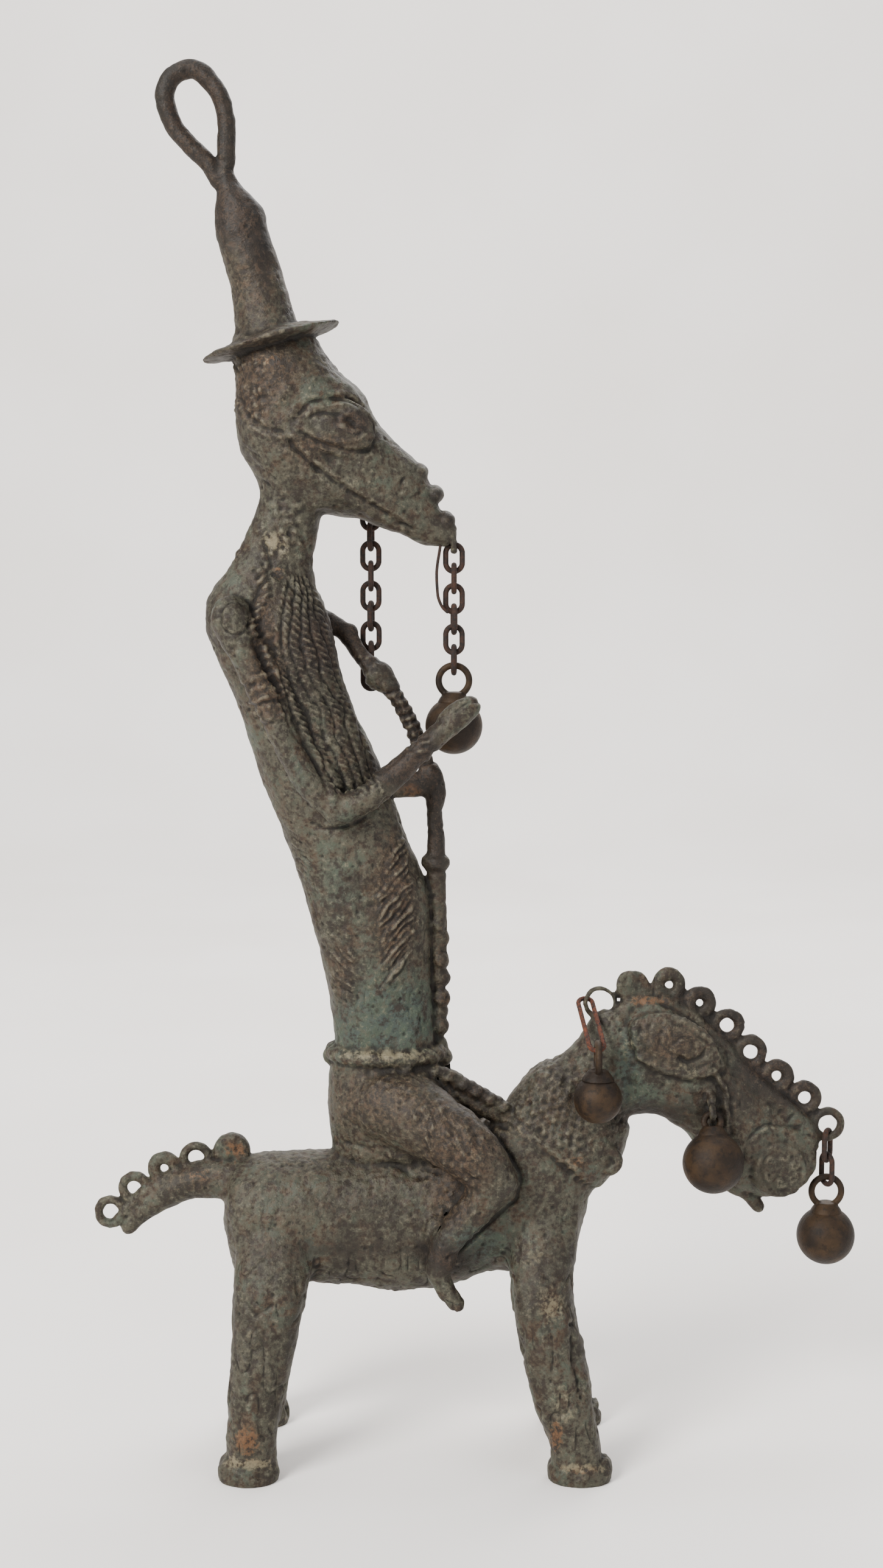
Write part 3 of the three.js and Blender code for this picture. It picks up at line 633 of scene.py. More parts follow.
@dataclass
class Horse:
    """The horse: body, legs, neck, head, mane and tail."""

    track: float = 37.0
    hind_rim: Pair = (4.4, 2.6)
    front_rim: Pair = (1.6, 5.0)
    mane_ring: float = 17.6
    mane_thickness: float = 5.0
    tail_ring: float = 17.0
    boss: float = 15.6
    crest_drop: float = 10.2
    crest_start: float = 76.0
    web_drop: float = 5.0
    collar_slant: float = 0.62
    collar_middle: Pair = (44, 177)
    collar_half: Pair = (16.5, 19.5)
    barrel: Table = (
        (-127, 119, 137, 12), (-124.8, 103, 149, 20), (-119, 92, 153.5, 28),
        (-100, 91, 156.5, 31.5), (-80, 91, 157.6, 30.5), (-60, 90, 158.6, 29.5),
        (-38, 86, 160.6, 29.5), (-10, 90, 168.6, 30), (10, 97, 175.6, 30.5), (32, 94, 182.6, 29.5),
        (49, 103, 169, 25), (57.5, 127, 155, 14),
    )
    hind_leg: Table = (
        (0, -124.5, -100.5, 12.5, 1), (18, -124.7, -99.5, 12, 1), (46, -123.4, -94.6, 13, 0.96),
        (74, -121.6, -88.5, 15, 0.87), (98, -121.6, -83, 17.5, 0.7), (130, -120, -80, 15, 0.4),
    )
    front_leg: Table = (
        (0, 38, 64, 12.5, 1), (16, 37.5, 63.4, 12, 1), (36, 29.8, 59.8, 12.5, 0.98),
        (64, 23.4, 54, 14, 0.9), (96, 17.6, 49.6, 17, 0.7), (132, 16, 54, 15, 0.4),
    )
    neck: Table = (
        (132, 8, 53.5, 22), (150, 7, 70, 24), (165, 10, 76.2, 22), (180, 17, 79, 18.5),
        (199, 30, 90, 15.5), (209, 46, 94, 14), (229, 61, 92, 9),
    )
    head: Table = (
        (60, 206, 230, 6), (70, 186, 232.5, 11), (77, 177, 234, 14), (90, 178, 236.6, 16),
        (104, 171, 232, 17), (117, 156, 221, 15.6), (130, 140, 206, 14), (150, 134, 185, 12),
        (166, 138, 171.5, 9.5), (175.2, 149, 160, 3.5),
    )
    tail: Table = (
        (-112, 0, 143, 13), (-128, 0, 144.2, 10.8), (-145, 0, 142, 9), (-160, 0, 134.4, 7.4),
        (-172, 0, 124.8, 5.6), (-177, 0, 118.5, 4.2),
    )
    crest: Path2 = (
        (63.6, 235.1), (80.2, 243.7), (99.1, 244.4), (114.7, 234.7), (128.6, 223.1),
        (141.3, 208.7), (154.8, 196.2), (168.8, 185.4), (180.2, 172.1),
    )
    mane_holes: Row = (12.0, 0, 4.2, 2.8, 6.4, 6.6, 5.8, 6.2, 9.4)
    tail_holes: Table = (
        (-142.1, 154.5, 8.2), (-158.5, 149.1, 4.6), (-173.9, 138.8, 7), (-186.1, 126.2, 8.2),
    )

    def masses(self) -> list[Shell]:
        """The big forms, which flow into each other."""
        forms = [
            length_form(self.barrel), level_form(self.neck), length_form(self.head, 2.2),
            limb(self.tail, 24),
        ]
        for sign in (-1, 1):
            for rows in (self.hind_leg, self.front_leg):
                forms.append(level_form(rows, track=sign * self.track))
            forms.append(ball(100, sign * 13.6, 215.8, 24.5, 5.6, 16, -0.46))
        return forms

    def hooves(self) -> list[Shell]:
        """An uneven rim under each leg."""
        grain = Grain(11)
        legs = ((self.hind_leg, self.hind_rim), (self.front_leg, self.front_rim))
        return [
            self.hoof(grain, rows, rim, sign * self.track)
            for sign in (-1, 1) for rows, rim in legs
        ]

    def hoof(self, grain: Grain, leg: Table, reach: Row, offset: float) -> Shell:
        """One rim.

        Args:
            grain: Field that makes it uneven.
            leg: Rows of its leg.
            reach: How far it stands out behind and before the leg.
            offset: Side offset of the leg.

        Returns:
            The rim.
        """
        back, front = leg[0][1] - reach[0], leg[0][2] + reach[1]
        profile = (
            (0, 0.8, 13.2), (0.8, 0, 13.9), (4.4, 0, 14), (8.2, 1, 13.2), (10.6, 2.6, 11.8),
        )
        rows = [(z, back + inset, front - inset, half, 1) for z, inset, half in profile]
        rim = level_form(rows, 2.1, offset, 1.2)
        shift = grain.at(rim.points, 7.0) + 0.5 * grain.at(rim.points, 3.4)
        out = rim.points[:, :2] - np.array([(back + front) / 2, offset])
        out /= np.linalg.norm(out, axis=1)[:, None] + 1e-6
        level = np.clip(rim.points[:, 2] / 3.0, 0, 1)
        rim.points[:, :2] += out * (np.minimum(shift, 0.15) * 2.2 * level)[:, None]
        rim.points[:, 2] += np.where(rim.points[:, 2] > 3, shift * 1.8, 0)
        return rim

    def ridges(self) -> list[Shell]:
        """The crest that carries the mane rings, and the tail's upper edge."""
        table = along_rows(self.crest, 4.0, slice(0, 2))
        along = np.gradient(table, axis=0)
        along /= np.linalg.norm(along, axis=1)[:, None]
        low = table + np.stack([along[:, 1], -along[:, 0]], -1) * self.crest_drop
        chosen = low[low[:, 0] > self.crest_start]
        return [
            limb([(x, 0, z, 5.8) for x, z in chosen[:-1]] + [(172, 0, 164, 4.4)]),
            limb([(66, 0, 229, 3.4), (72, 0, 224, 4.2)]),
            limb([(-176, 0, 128, 3), (-182, 0, 122.5, 3)]),
            limb([
                (-132, 0, 150.5, 4.4), (-150, 0, 146, 4.4), (-166, 0, 137.5, 4.2),
                (-178, 0, 127, 3.4),
            ]),
        ]

    def rings(self) -> list[Shell]:
        """Mane rings along the crest and rings along the tail."""
        curve = along_rows(self.crest, 0.4, slice(0, 2))
        count = len(self.mane_holes)
        places = curve[np.round(np.linspace(0, len(curve) - 1, count)).astype(int)]
        forms = [
            self.ring(self.mane_ring, hole, i in (0, count - 1)).moved(x, 0, z)
            for i, (hole, (x, z)) in enumerate(zip(self.mane_holes, places))
        ]
        for (x0, z0), (x1, z1) in zip(places[1:-1], places[2:]):
            gap = math.hypot(x1 - x0, z1 - z0)
            x = (x0 + x1) / 2 - (z0 - z1) / gap * self.web_drop
            z = (z0 + z1) / 2 - (x1 - x0) / gap * self.web_drop
            forms.append(ball(x, 0, z, 3.6, 2.3, 3.6))
        for x, z, hole in self.tail_holes:
            forms.append(self.ring(self.tail_ring, hole, False).moved(x, 0, z))
        root = turned_form([
            (0, -4.2), (7.6, -4), (9.2, -2.4), (9.4, 0), (9.2, 2.4), (7.6, 4), (0, 4.2),
        ])
        forms.append(root.turned(QUARTER, "X").moved(-124, 0, 158.4))
        return forms

    def ring(self, outer: float, hole: float, round_rod: bool) -> Shell:
        """One upright ring, or a disc where it has no hole."""
        if hole == 0:
            half, edge = self.mane_thickness / 2, outer / 2
            return turned_form([
                (0, -half), (edge - 1.6, -half), (edge, -half * 0.4), (edge, half * 0.4),
                (edge - 1.6, half), (0, half),
            ]).turned(QUARTER, "X")
        rod = (outer - hole) / 2
        return torus(outer, rod, rod if round_rod else self.mane_thickness)

    def face(self) -> list[Shell]:
        """Bosses, cheek plates, straps and lip."""
        forms = []
        for sign in (-1, 1):
            plate = turned_form([
                (0, 0), (13.2, 0), (14.2, 1), (13.8, 2.5), (12.4, 3.3), (0, 3.5),
            ])
            straps = (
                ((119, 14.2, 204, 1.6), (126, 14.8, 192, 1.9), (127.5, 14.6, 176, 1.6)),
                ((113.5, 14.4, 196, 1.4), (119, 15.0, 184, 1.7), (117, 15.0, 172, 1.4)),
            )
            forms += [
                plate.turned(sign * -QUARTER, "X").moved(154, sign * 9.4, 151),
                torus(self.boss, 5.4, 5.6).moved(67, sign * 17, 158),
                ball(67, sign * 15, 158, 6, 3.4, 6),
                *(limb([(x, sign * y, z, rod) for x, y, z, rod in strap]) for strap in straps),
            ]
        forms.append(limb([
            (125, 0, 144.5, 5), (134, 0, 139, 4.2), (140, 0, 135.5, 3.8), (145.2, 0, 129.2, 3.4),
        ]))
        return forms

    def collar(self) -> list[Shell]:
        """The woven collar, a fuller neck between two slanting planes."""
        full, thin = (
            level_form([
                (z, back - behind, front + before, half + aside)
                for z, back, front, half in self.neck
            ], step=2.0)
            for behind, before, aside in ((2.6, 1.6, 2.8), (-3, -3, -3))
        )
        across = np.array([math.sin(self.collar_slant), math.cos(self.collar_slant)])
        reach = (full.points[:, [0, 2]] - np.array(self.collar_middle)) @ across
        share = smooth_step(*self.collar_half, np.abs(reach))
        full.points = full.points * (1 - share[:, None]) + thin.points * share[:, None]
        return [full]


@dataclass
class Rider:
    """The rider: long torso, masked head, cap with its loop, arms, bar, belt and legs."""

    bar: float = 8.8
    loop_rod: float = 9.3
    brim: float = 70.0
    torso: Table = (
        (158, -72, 4, 20), (184, -74.6, -9, 23.5), (200, -74, -14.5, 21.5),
        (215, -71.2, -20, 20.5), (235, -73.4, -21, 20.7), (255, -77, -22, 21),
        (275, -81.3, -22, 21.3), (292, -86, -22.6, 21.5), (305, -90.1, -28.2, 22),
        (325, -97, -36.2, 22.5), (345, -104.9, -43.4, 22.8), (365, -111.6, -51.3, 23),
        (385, -118.3, -60.6, 23.4), (396, -122.8, -65.1, 23.6), (415, -130.6, -69.2, 24.4),
        (426, -134, -71.5, 24.6), (436, -134, -75, 22.5), (446, -129.6, -79.2, 18.6),
        (456, -121.2, -80.4, 15.8), (466, -115.6, -79, 15.2), (476, -110.9, -77.4, 15.6),
        (488, -107.4, -74, 16), (494, -106.5, -72, 16),
    )
    skull: Table = (
        (484, -107.5, -62, 15), (492, -106.6, -60, 18), (500, -109, -59.4, 21),
        (514, -116.6, -58, 25), (524, -118, -56, 26.4), (537, -118.4, -54.5, 27),
        (552, -118.6, -68, 26.6), (567, -119, -78, 22),
    )
    muzzle: Table = (
        (-80, 482, 534, 21), (-68, 480, 538, 21.5), (-56, 478.5, 541, 21), (-50, 475.8, 529, 19),
        (-43, 473.4, 520.6, 17), (-36, 471, 513.5, 15), (-29, 467, 506.8, 12.4),
        (-24.4, 465.4, 500.4, 10), (-20, 465.4, 489, 8.4), (-15, 465.6, 479, 7),
        (-9.5, 467.4, 475.4, 5),
    )
    cap: Table = (
        (554, -118, -78, 20), (566, -117.6, -82, 18), (577, -118.4, -88.8, 15.5),
        (588, -119.5, -91.6, 14), (598, -121.6, -95, 13.4), (608, -124.5, -97.8, 13.4),
        (618, -127.3, -101, 13), (628, -127, -103.6, 11.5), (633.5, -126.4, -107.4, 9.4),
        (638.5, -126.2, -112.4, 7.2), (643, -127, -115.6, 5.6), (650, -128, -118.4, 4.6),
    )
    loop: Path2 = (
        (-124.2, 642), (-121.4, 653), (-121.3, 664.1), (-122.4, 677.2), (-128.9, 689.6),
        (-138, 695.7), (-147.4, 691.4), (-151, 682.6), (-147.3, 669.4), (-139, 659),
        (-129.7, 649.8), (-125.4, 643),
    )
    near_arm: Table = (
        (-119, -24, 431, 11), (-111.6, -26.5, 411.8, 8), (-101.7, -28, 392, 7.4),
        (-90.8, -28, 367.5, 7.2), (-78.5, -28, 347.5, 7.2), (-66.5, -28, 337, 7.4),
    )
    near_forearm: Table = (
        (-67.5, -28, 336.5, 7.4), (-55, -28, 342, 7.1), (-44.6, -27, 350.6, 6.7),
        (-29.8, -25.5, 363.7, 6), (-15, -24, 376.6, 5.7), (-6, -22.8, 384.4, 6),
    )
    far_arm: Table = (
        (-102, 19, 430, 9), (-84, 19, 430, 5.2), (-67.5, 16, 423.6, 4.6), (-56, 11.5, 409, 4.5),
        (-50, 8.6, 403, 5.4), (-44.5, 8, 396.6, 5.8), (-39, 7.5, 389, 4.6), (-30, 6, 371.5, 4.4),
        (-24.5, 2.5, 357, 4.5),
    )
    plait: Sequence[Pair] = (
        (276, -0.6), (268.8, 0.5), (257.7, 0.7), (248.5, 1.1), (238.3, 1.2), (231, 0.2),
        (224, 1), (213.5, 0.2), (204.5, 1.2),
    )
    thigh: Table = (
        (-54, -9, 187, 16), (-42, -16, 187, 18.6), (-28, -24.5, 182, 18.2),
        (-12, -32, 174.6, 16.6), (2, -36, 163, 14.5), (10.5, -37, 152.5, 11),
    )
    shin: Table = (
        (9, -37, 151, 11), (2, -37, 141, 10), (-8, -37, 129, 8.6), (-16, -37, 117.5, 7.2),
        (-18.2, -38, 106, 5.8), (-14.8, -39, 98.5, 4.8), (-9.6, -40, 91, 4.2),
    )

    def masses(self) -> list[Shell]:
        """The big forms."""
        return [
            level_form(self.torso), level_form(self.skull, 2.4), length_form(self.muzzle, 2.3, 2.0),
            level_form(self.cap, 2.0), *self.legs(),
        ]

    def legs(self) -> list[Shell]:
        """Folded legs on both flanks."""
        near = [limb(self.thigh, 36, 2.0), limb(self.shin, 32, 1.6), ball(-17, -31, 124, 9, 5, 10)]
        return near + [form.mirrored() for form in near]

    def hat(self) -> list[Shell]:
        """The cap's loop and brim."""
        rod = self.loop_rod / 2
        ring = limb([(x, 0, z, rod) for x, z in self.loop], 20, 1.2)
        edge = self.brim / 2
        disc = turned_form([
            (0, -5), (20, -3.8), (26, -2.4), (edge - 1.4, -1.1), (edge, 0), (edge - 1.4, 1),
            (26, 2), (18, 4), (0, 5.4),
        ])
        x, y = disc.points[:, :2].T
        uneven = 1 + 0.012 * np.sin(3 * np.arctan2(y, x) + 0.6) * np.hypot(x, y) / edge
        disc.points[:, :2] *= np.minimum(uneven, 1.0)[:, None]
        return [ring, disc.turned(-0.283, "Y").moved(-100.6, 0, 565.4)]

    def face(self) -> list[Shell]:
        """Eyes, nose and lips of the mask."""
        forms = []
        for sign in (-1, 1):
            forms.append(ball(-68, sign * 21.4, 523.8, 20, 4.8, 13.8, -0.2))
            forms.append(ball(-62, sign * 24.0, 525.0, 8, 3.0, 7, -0.2))
        middle = (
            (-28, 501.4, 4.6, 8.8, 4.8), (-28.4, 495.6, 5.4, 8.6, 5.4),
            (-20.2, 490.8, 4.8, 8.6, 4.6), (-15, 477.8, 5, 7.8, 4.9),
        )
        return forms + [ball(x, 0, z, rx, ry, rz) for x, z, rx, ry, rz in middle]

    def arms(self) -> list[Shell]:
        """Both arms, the near hand, the bar and the strut between bar and body."""
        crease = [(x + 6.5, -22.0, z + 1.5, rod - 1.2) for x, _, z, rod in self.near_arm[1:5]]
        rod = self.bar / 2
        bar = (
            (-26, 3.6, 360, 1), (-21.4, 0.6, 349, 1.3), (-20, 0, 341, 1.25), (-20.4, 0, 334, 1),
            (-19.6, 0, 318, 0.98), (-19.5, 0, 311.5, 1), (-19.5, 0, 309, 1.55),
            (-19.5, 0, 305.5, 1.6), (-19.5, 0, 303, 1.1), (-19, 0, 290, 1), (-18.6, 0, 276, 1),
            (-18.6, 0, 212, 0.7),
        )
        forms = [
            limb(self.near_arm, 32), limb(self.near_forearm, 28), limb(self.far_arm, 24),
            limb(crease, 24),
            limb([(-14, -23, 380, 5.4), (-7, -22.4, 384.6, 6.6), (-3, -21.8, 387, 5.8)], 24),
            ball(-48, 8.4, 400.4, 7, 6.4, 7.4, 0.6), ball(-63, 15, 421.5, 4.6, 4.6, 5.2),
            limb([(x, y, z, rod * share) for x, y, z, share in bar], 24),
            limb([(-46, 0, 346.5, 6.6), (-24, 0, 346.5, 6.6)], 20).sized(1, 0.7, 1),
        ]
        for number, (z, out) in enumerate(self.plait):
            lean = 0.7 if number % 2 else 0.35
            forms.append(ball(-18.4 + out, (number % 2 - 0.5) * 1.6, z, 4.6, 5.2, 5.6, lean))
        return forms

    def belt(self) -> list[Shell]:
        """A rope round the waist with coils at the back and flanks, and the rein before it."""
        angle = np.linspace(0, 2 * math.pi, 240, endpoint=False)
        path = vectors(-44.8 + 27.2 * np.cos(angle), 20.2 * np.sin(angle), 210.4)
        forms = twisted_rope(path, 11.4, 12.0, 2, True, 0.1)
        forms.append(torus(11, 4.2, 5).turned(0.5, "Z").moved(-72, 0, 208.4))
        for sign in (-1, 1):
            forms.append(torus(9.4, 3.2, 4.4).moved(-35, sign * 20.6, 208.6))
        forms.append(ball(-15.4, 0, 207.4, 4.2, 7, 4.6))
        route = (
            (-26, -10, 203), (-12, -10, 197.5), (-2, -9.5, 191.5), (6, -9, 187), (17, -8, 180),
        )
        rein = along_rows(route, 0.8, slice(0, 3))
        forms += twisted_rope(rein, 9.4, 9.0, 3, False, 0.15)
        forms.append(limb([(-22, -8, 196, 4.6), (-4, -8.4, 187, 4.8), (14, -7.4, 178, 4.6)], 20))
        for number, (x, y, z) in enumerate(rein[3:-4:5]):
            forms.append(ball(x, y - 1.4 * (number % 2), z + 1.6, 3.6, 4.4, 3.2, 0.6))
        return forms

    def eyelets(self) -> list[Shell]:
        """Cast eyelets that carry the chains and the cheek bell."""
        eyelet = torus(10.4, 2.6, steps=32, sides=14).turned(QUARTER, "Z")
        return [
            eyelet.moved(-52.5, 21, 488), eyelet.moved(-10.6, 0, 467.1),
            eyelet.moved(118.5, -22, 183.4),
            limb([(-54, 14, 498, 3), (-52.5, 19, 493.5, 2)], 16),
            limb([(118.5, -12, 193, 3), (118.5, -19.6, 187.8, 2)], 16),
        ]


# Relief of the casting


@dataclass
class Carving:
    """Every line, lock, band and lump of the casting's surface."""

    relief: Relief
    mask_gain: float = 0.58
    head_gain: float = 0.85
    plate: Triple = (157.6, 147.8, 13.2)
    grain: Grain = field(default_factory=lambda: Grain(5))

    def cut(self) -> Array:
        """Draws all relief and returns the height of each point."""
        for gain, steps in (
            (self.mask_gain, (self.mask_face,)),
            (1.0, (self.chest, self.arm, self.lower_torso, self.legs)),
            (self.head_gain, (self.horse_head,)),
            (1.0, (self.collar, self.skin)),
        ):
            self.relief.gain = gain
            for step in steps:
                step()
        return self.relief.height

    def mask_face(self) -> None:
        """Eye with its lids, jaw strap, mouth, nostril and the hair behind."""
        r = self.relief
        r.lines((
            (1.4, 1.6, (-90.9, 529.6), (-87.6, 534.9), (-82.6, 538), (-75.5, 539.9), (-67, 540.2),
             (-59.9, 538.4), (-55.2, 535)),
            (1.1, -2, (-86.9, 530.2), (-83.8, 534.4), (-78.4, 536.9), (-71.3, 537.8),
             (-64.2, 537.3), (-58, 534.6)),
            (1.1, 1.3, (-83.4, 530), (-77, 533.8), (-70.6, 534.9), (-64.2, 534.3), (-59, 531.8)),
            (1.3, -2.2, (-80.4, 529), (-74.7, 530.8), (-67.1, 530.4), (-62.5, 528)),
        ))
        r.spot(-61, 524.6, 6.4, 1.6, sharp=4)
        r.spot(-60.6, 526.6, 3.8, -4.4, sharp=3)
        r.lines((
            (1.6, -1.8, (-68, 527.6), (-60, 527), (-54, 523)),
            (1.2, -0.9, (-60, 526.4), (-56.6, 522.6)),
            (1.2, 1.5, (-87, 525.4), (-81.3, 521.2), (-74.2, 517.9), (-67.1, 516.6), (-60, 517.2),
             (-54.4, 520.4)),
        ))
        edge = (
            (-86.3, 521.9), (-78.5, 517), (-71.4, 513.9), (-61.5, 512), (-52.9, 512.7),
            (-49.6, 517), (-49.4, 524), (-52.1, 529.6),
        )
        r.line(edge, 1.2, -1.9)
        r.lines((
            (1.4, 1.1, (-80, 514.4), (-67.2, 510.2), (-56, 509.2), (-48.7, 511.4), (-46.6, 517)),
        ))
        strap = (
            (-90.3, 519.6), (-86, 514.6), (-79.5, 508.4), (-72.9, 503.2), (-61.5, 495.4),
            (-50.2, 488.5), (-38.8, 481.4), (-27.3, 475),
        )
        r.line(strap, 1.5, 1.7)
        below = [(x - 1.6, z - 3.0) for x, z in strap]
        for number in range(len(below) - 1):
            (x0, z0), (x1, z1) = below[number], below[number + 1]
            r.line(((x0, z0), (x0 * 0.3 + x1 * 0.7, z0 * 0.3 + z1 * 0.7)), 1.3, -2.6)
        r.line([(x - 3.4, z - 6.0) for x, z in strap[2:]], 1.5, 0.9)
        r.line([(x + 2.4, z + 3.4) for x, z in strap[1:6]], 1.3, -0.7)
        r.lines((
            (1.4, -1.6, (-37.3, 493), (-35.9, 498.6), (-30.2, 501.5)),
            (1.4, -1.3, (-26, 493.2), (-31, 490), (-36, 489)),
        ))
        for x, z in ((-89.9, 516.3), (-85, 512.4), (-80.7, 509), (-86, 506), (-80, 502)):
            r.spot(x, z, 2.2, -1.2)
        for shift in (0.0, -5.2, -10.4):
            start = (-114 - shift * 0.2, 513.9 + shift)
            r.line((start, (-108, 509.6 + shift), (-99.3, 503.6 + shift)), 1.1, -1.3)
        hairline = ((-116.6, 536.2), (-114, 528), (-109, 523), (-102, 520), (-96, 518.8))
        r.line(hairline, 1.6, 1.5)
        r.line([(x + 1.2, z + 3.0) for x, z in hairline], 1.3, -1.7)
        r.line(((-93, 542), (-98, 534), (-96, 526), (-92, 520)), 2.0, 1.1)
        hair = (
            (-121, 560), (-122, 530), (-110, 524), (-97, 521), (-99, 532), (-103, 546), (-99, 560),
        )
        self.pebbled(hair, 4.2, 2.6, 4.0)
        self.pebbled((
            (-100, 516), (-84, 512), (-74, 502), (-70, 494), (-84, 488), (-104, 492), (-110, 506),
        ), 4.6, 1.3, 6.0)
        self.pebbled(((-94, 546), (-86, 562), (-66, 562), (-58, 546), (-74, 543)), 3.8, 1.4, 4.0)

    def pebbled(
        self, outline: Path2, size: float, height: float, soft: float, side: Side = Side.BOTH
    ) -> None:
        """Raises a field of small lumps inside an outline."""
        chosen, weight = self.relief.patch(outline, soft, side)
        points = self.relief.points[chosen]
        lumps = self.grain.pebbles(points + 1.2 * self.grain.at(points, 6.0)[:, None], size)
        share = 0.5 + 0.6 * self.grain.at(points + 12, 6.5)
        self.relief.height[chosen] += (0.75 - 1.5 * lumps) * height * weight * share

    def cords(self, rows: Table, count: float, height: float, side: Side) -> None:
        """Twisted cords side by side between two edges.

        Args:
            rows: Level, back edge and front edge of the field.
            count: How many cords lie side by side.
            height: Height of the cords.
            side: Flank that has them.
        """
        r = self.relief
        level, back, front = np.array(rows).T
        outline = [*zip(back, level), *zip(front[::-1], level[::-1])]
        chosen, weight = r.patch(outline, 2.4, side)
        points, v = r.points[chosen], r.v[chosen]
        left, right = np.interp(v, level, back), np.interp(v, level, front)
        share = (r.u[chosen] - left) / (right - left)
        sway = self.grain.at(points * np.array([0.4, 0, 0.35]), 5.0)
        bend = 0.05 * np.sin(v / 13.0) + 0.07 * sway
        lane = count * (share + bend) + 0.2 * self.grain.at(points, 7.0)
        across = lane - np.floor(lane) - 0.5
        cord = np.sqrt(np.maximum(0, 1 - (2 * across) ** 2))
        shift = 2.4 * np.sin(17.0 * np.floor(lane))
        turns = (v + shift) / 3.5 + 1.1 * across
        beads = np.cos(2 * math.pi * turns + 1.2 * self.grain.at(points, 6.0))
        worn = 0.5 + 0.5 * smooth_step(-0.5, 0.2, self.grain.at(points + 40, 5.0))
        rough = 0.5 * self.grain.at(points + 5, 2.2) + 0.5 * self.grain.at(points + 15, 3.6)
        twisted = cord * (1.5 + 0.42 * beads * worn) - 1.1 + rough * 0.7
        r.height[chosen] += weight * height * twisted

    def chest(self) -> None:
        """Cords that run down the chest from the neck to the elbow, the shoulder and its band."""
        r = self.relief
        rows = (
            (341, -73, -44), (360, -80.6, -50), (371, -86.6, -54), (381, -92.6, -58.6),
            (390, -96.6, -62.4), (400, -99, -66.4), (412, -101, -69), (423, -102, -70.6),
            (434, -100, -73.6), (444, -97, -78), (452, -94, -83),
        )
        for side in (Side.NEAR, Side.FAR):
            self.cords(rows, 5.6, 0.95, side)
        r.line(oval(-119.1, 430.1, 8.2, 8.7, 14, 6.28), 1.0, -1.0, Side.NEAR)
        band = (
            (-108, 455), (-105, 449), (-104, 441), (-108.6, 431.5), (-110, 422.8), (-105.5, 415.6),
            (-100.5, 404), (-96.2, 393.8),
        )
        r.line(band, 2.1, 1.5, Side.NEAR, all_round=True)
        for number, (x, z) in enumerate(along_rows(band, 4.2, slice(0, 2))):
            nick, deep = ((x - 2.4, z - 1.4), (x + 2.4, z + 1.4)), -0.9 - 0.3 * (number % 2)
            r.line(nick, 0.9, deep, Side.NEAR, all_round=True)
        neck = (
            (-124, 462), (-110, 490), (-82, 488), (-78, 470), (-78, 448), (-104, 450), (-120, 452),
        )
        self.pebbled(neck, 4.6, 1.9, 4.0)
        r.lines((
            (1.6, -1.2, (-108, 470), (-103, 462), (-100, 452), (-92, 446)),
            (1.5, 1, (-98, 478), (-94, 468), (-92, 458)),
        ), Side.NEAR)

    def arm(self) -> None:
        """The near arm's groove, cuff, elbow and fingers, and the far arm's twist."""
        r = self.relief
        groove = (
            (-103.1, 450.7), (-107.5, 443.7), (-111, 433.7), (-111.6, 424), (-109.1, 417),
            (-104.8, 408.3), (-100.5, 399.6), (-96, 389), (-92, 374.9), (-86.2, 366.1),
            (-79, 354.4), (-73.3, 341.2),
        )
        r.line(groove[:5], 1.1, -1.1, Side.NEAR, all_round=True)
        r.line(groove[4:8], 1.7, -2.8, Side.NEAR, all_round=True)
        r.line(groove[7:], 0.9, -1.2, Side.NEAR, all_round=True)
        for x, z, rise in ((-108, 402, 0.6), (-105, 391.5, 1.3), (-101, 382, 0.5)):
            r.lines((
                (1.4, rise, (x - 8.5, z - 4.2), (x, z - 1.0), (x + 9, z + 0.4)),
                (1.2, -rise, (x - 8.5, z - 7.2), (x, z - 4.0), (x + 9, z - 2.6)),
            ), Side.NEAR, all_round=True)
        self.pebbled((
            (-122, 412), (-100, 412), (-88, 388), (-96, 376), (-112, 378),
        ), 3.8, 2.0, 3.0, Side.NEAR)
        self.pebbled((
            (-112, 376), (-90, 376), (-66, 342), (-60, 330), (-84, 326), (-96, 346),
        ), 5.2, 1.3, 5.0, Side.NEAR)
        self.pebbled((
            (-132, 444), (-112, 446), (-112, 420), (-102, 402), (-118, 404), (-132, 426),
        ), 5.4, 1.2, 5.0, Side.NEAR)
        r.lines((
            (1.1, -1.1, (-43.3, 339.4), (-53.3, 331.4), (-63.3, 325.4), (-73.3, 323.9), (-82, 327)),
            (0.9, -0.5, (-58, 345), (-44, 355), (-30, 367.4), (-18, 378)),
        ), Side.NEAR)
        r.lines((
            (0.8, -0.7, (-12, 388), (-5, 393), (1, 393.6)),
            (0.8, -0.7, (-10, 383.6), (-3, 388.4), (3.4, 388)),
        ), Side.NEAR, all_round=True)
        for x, z in along_rows(((-42, 392), (-36, 382), (-30, 371), (-24, 357)), 4.4, slice(0, 2)):
            r.line(((x - 5, z - 1.6), (x + 5, z + 1.6)), 1.2, -1.1, all_round=True)
        self.pebbled((
            (-64, 424), (-52, 414), (-40, 398), (-20, 356), (-32, 354), (-46, 384), (-60, 400),
        ), 4.2, 1.8, 2.0)

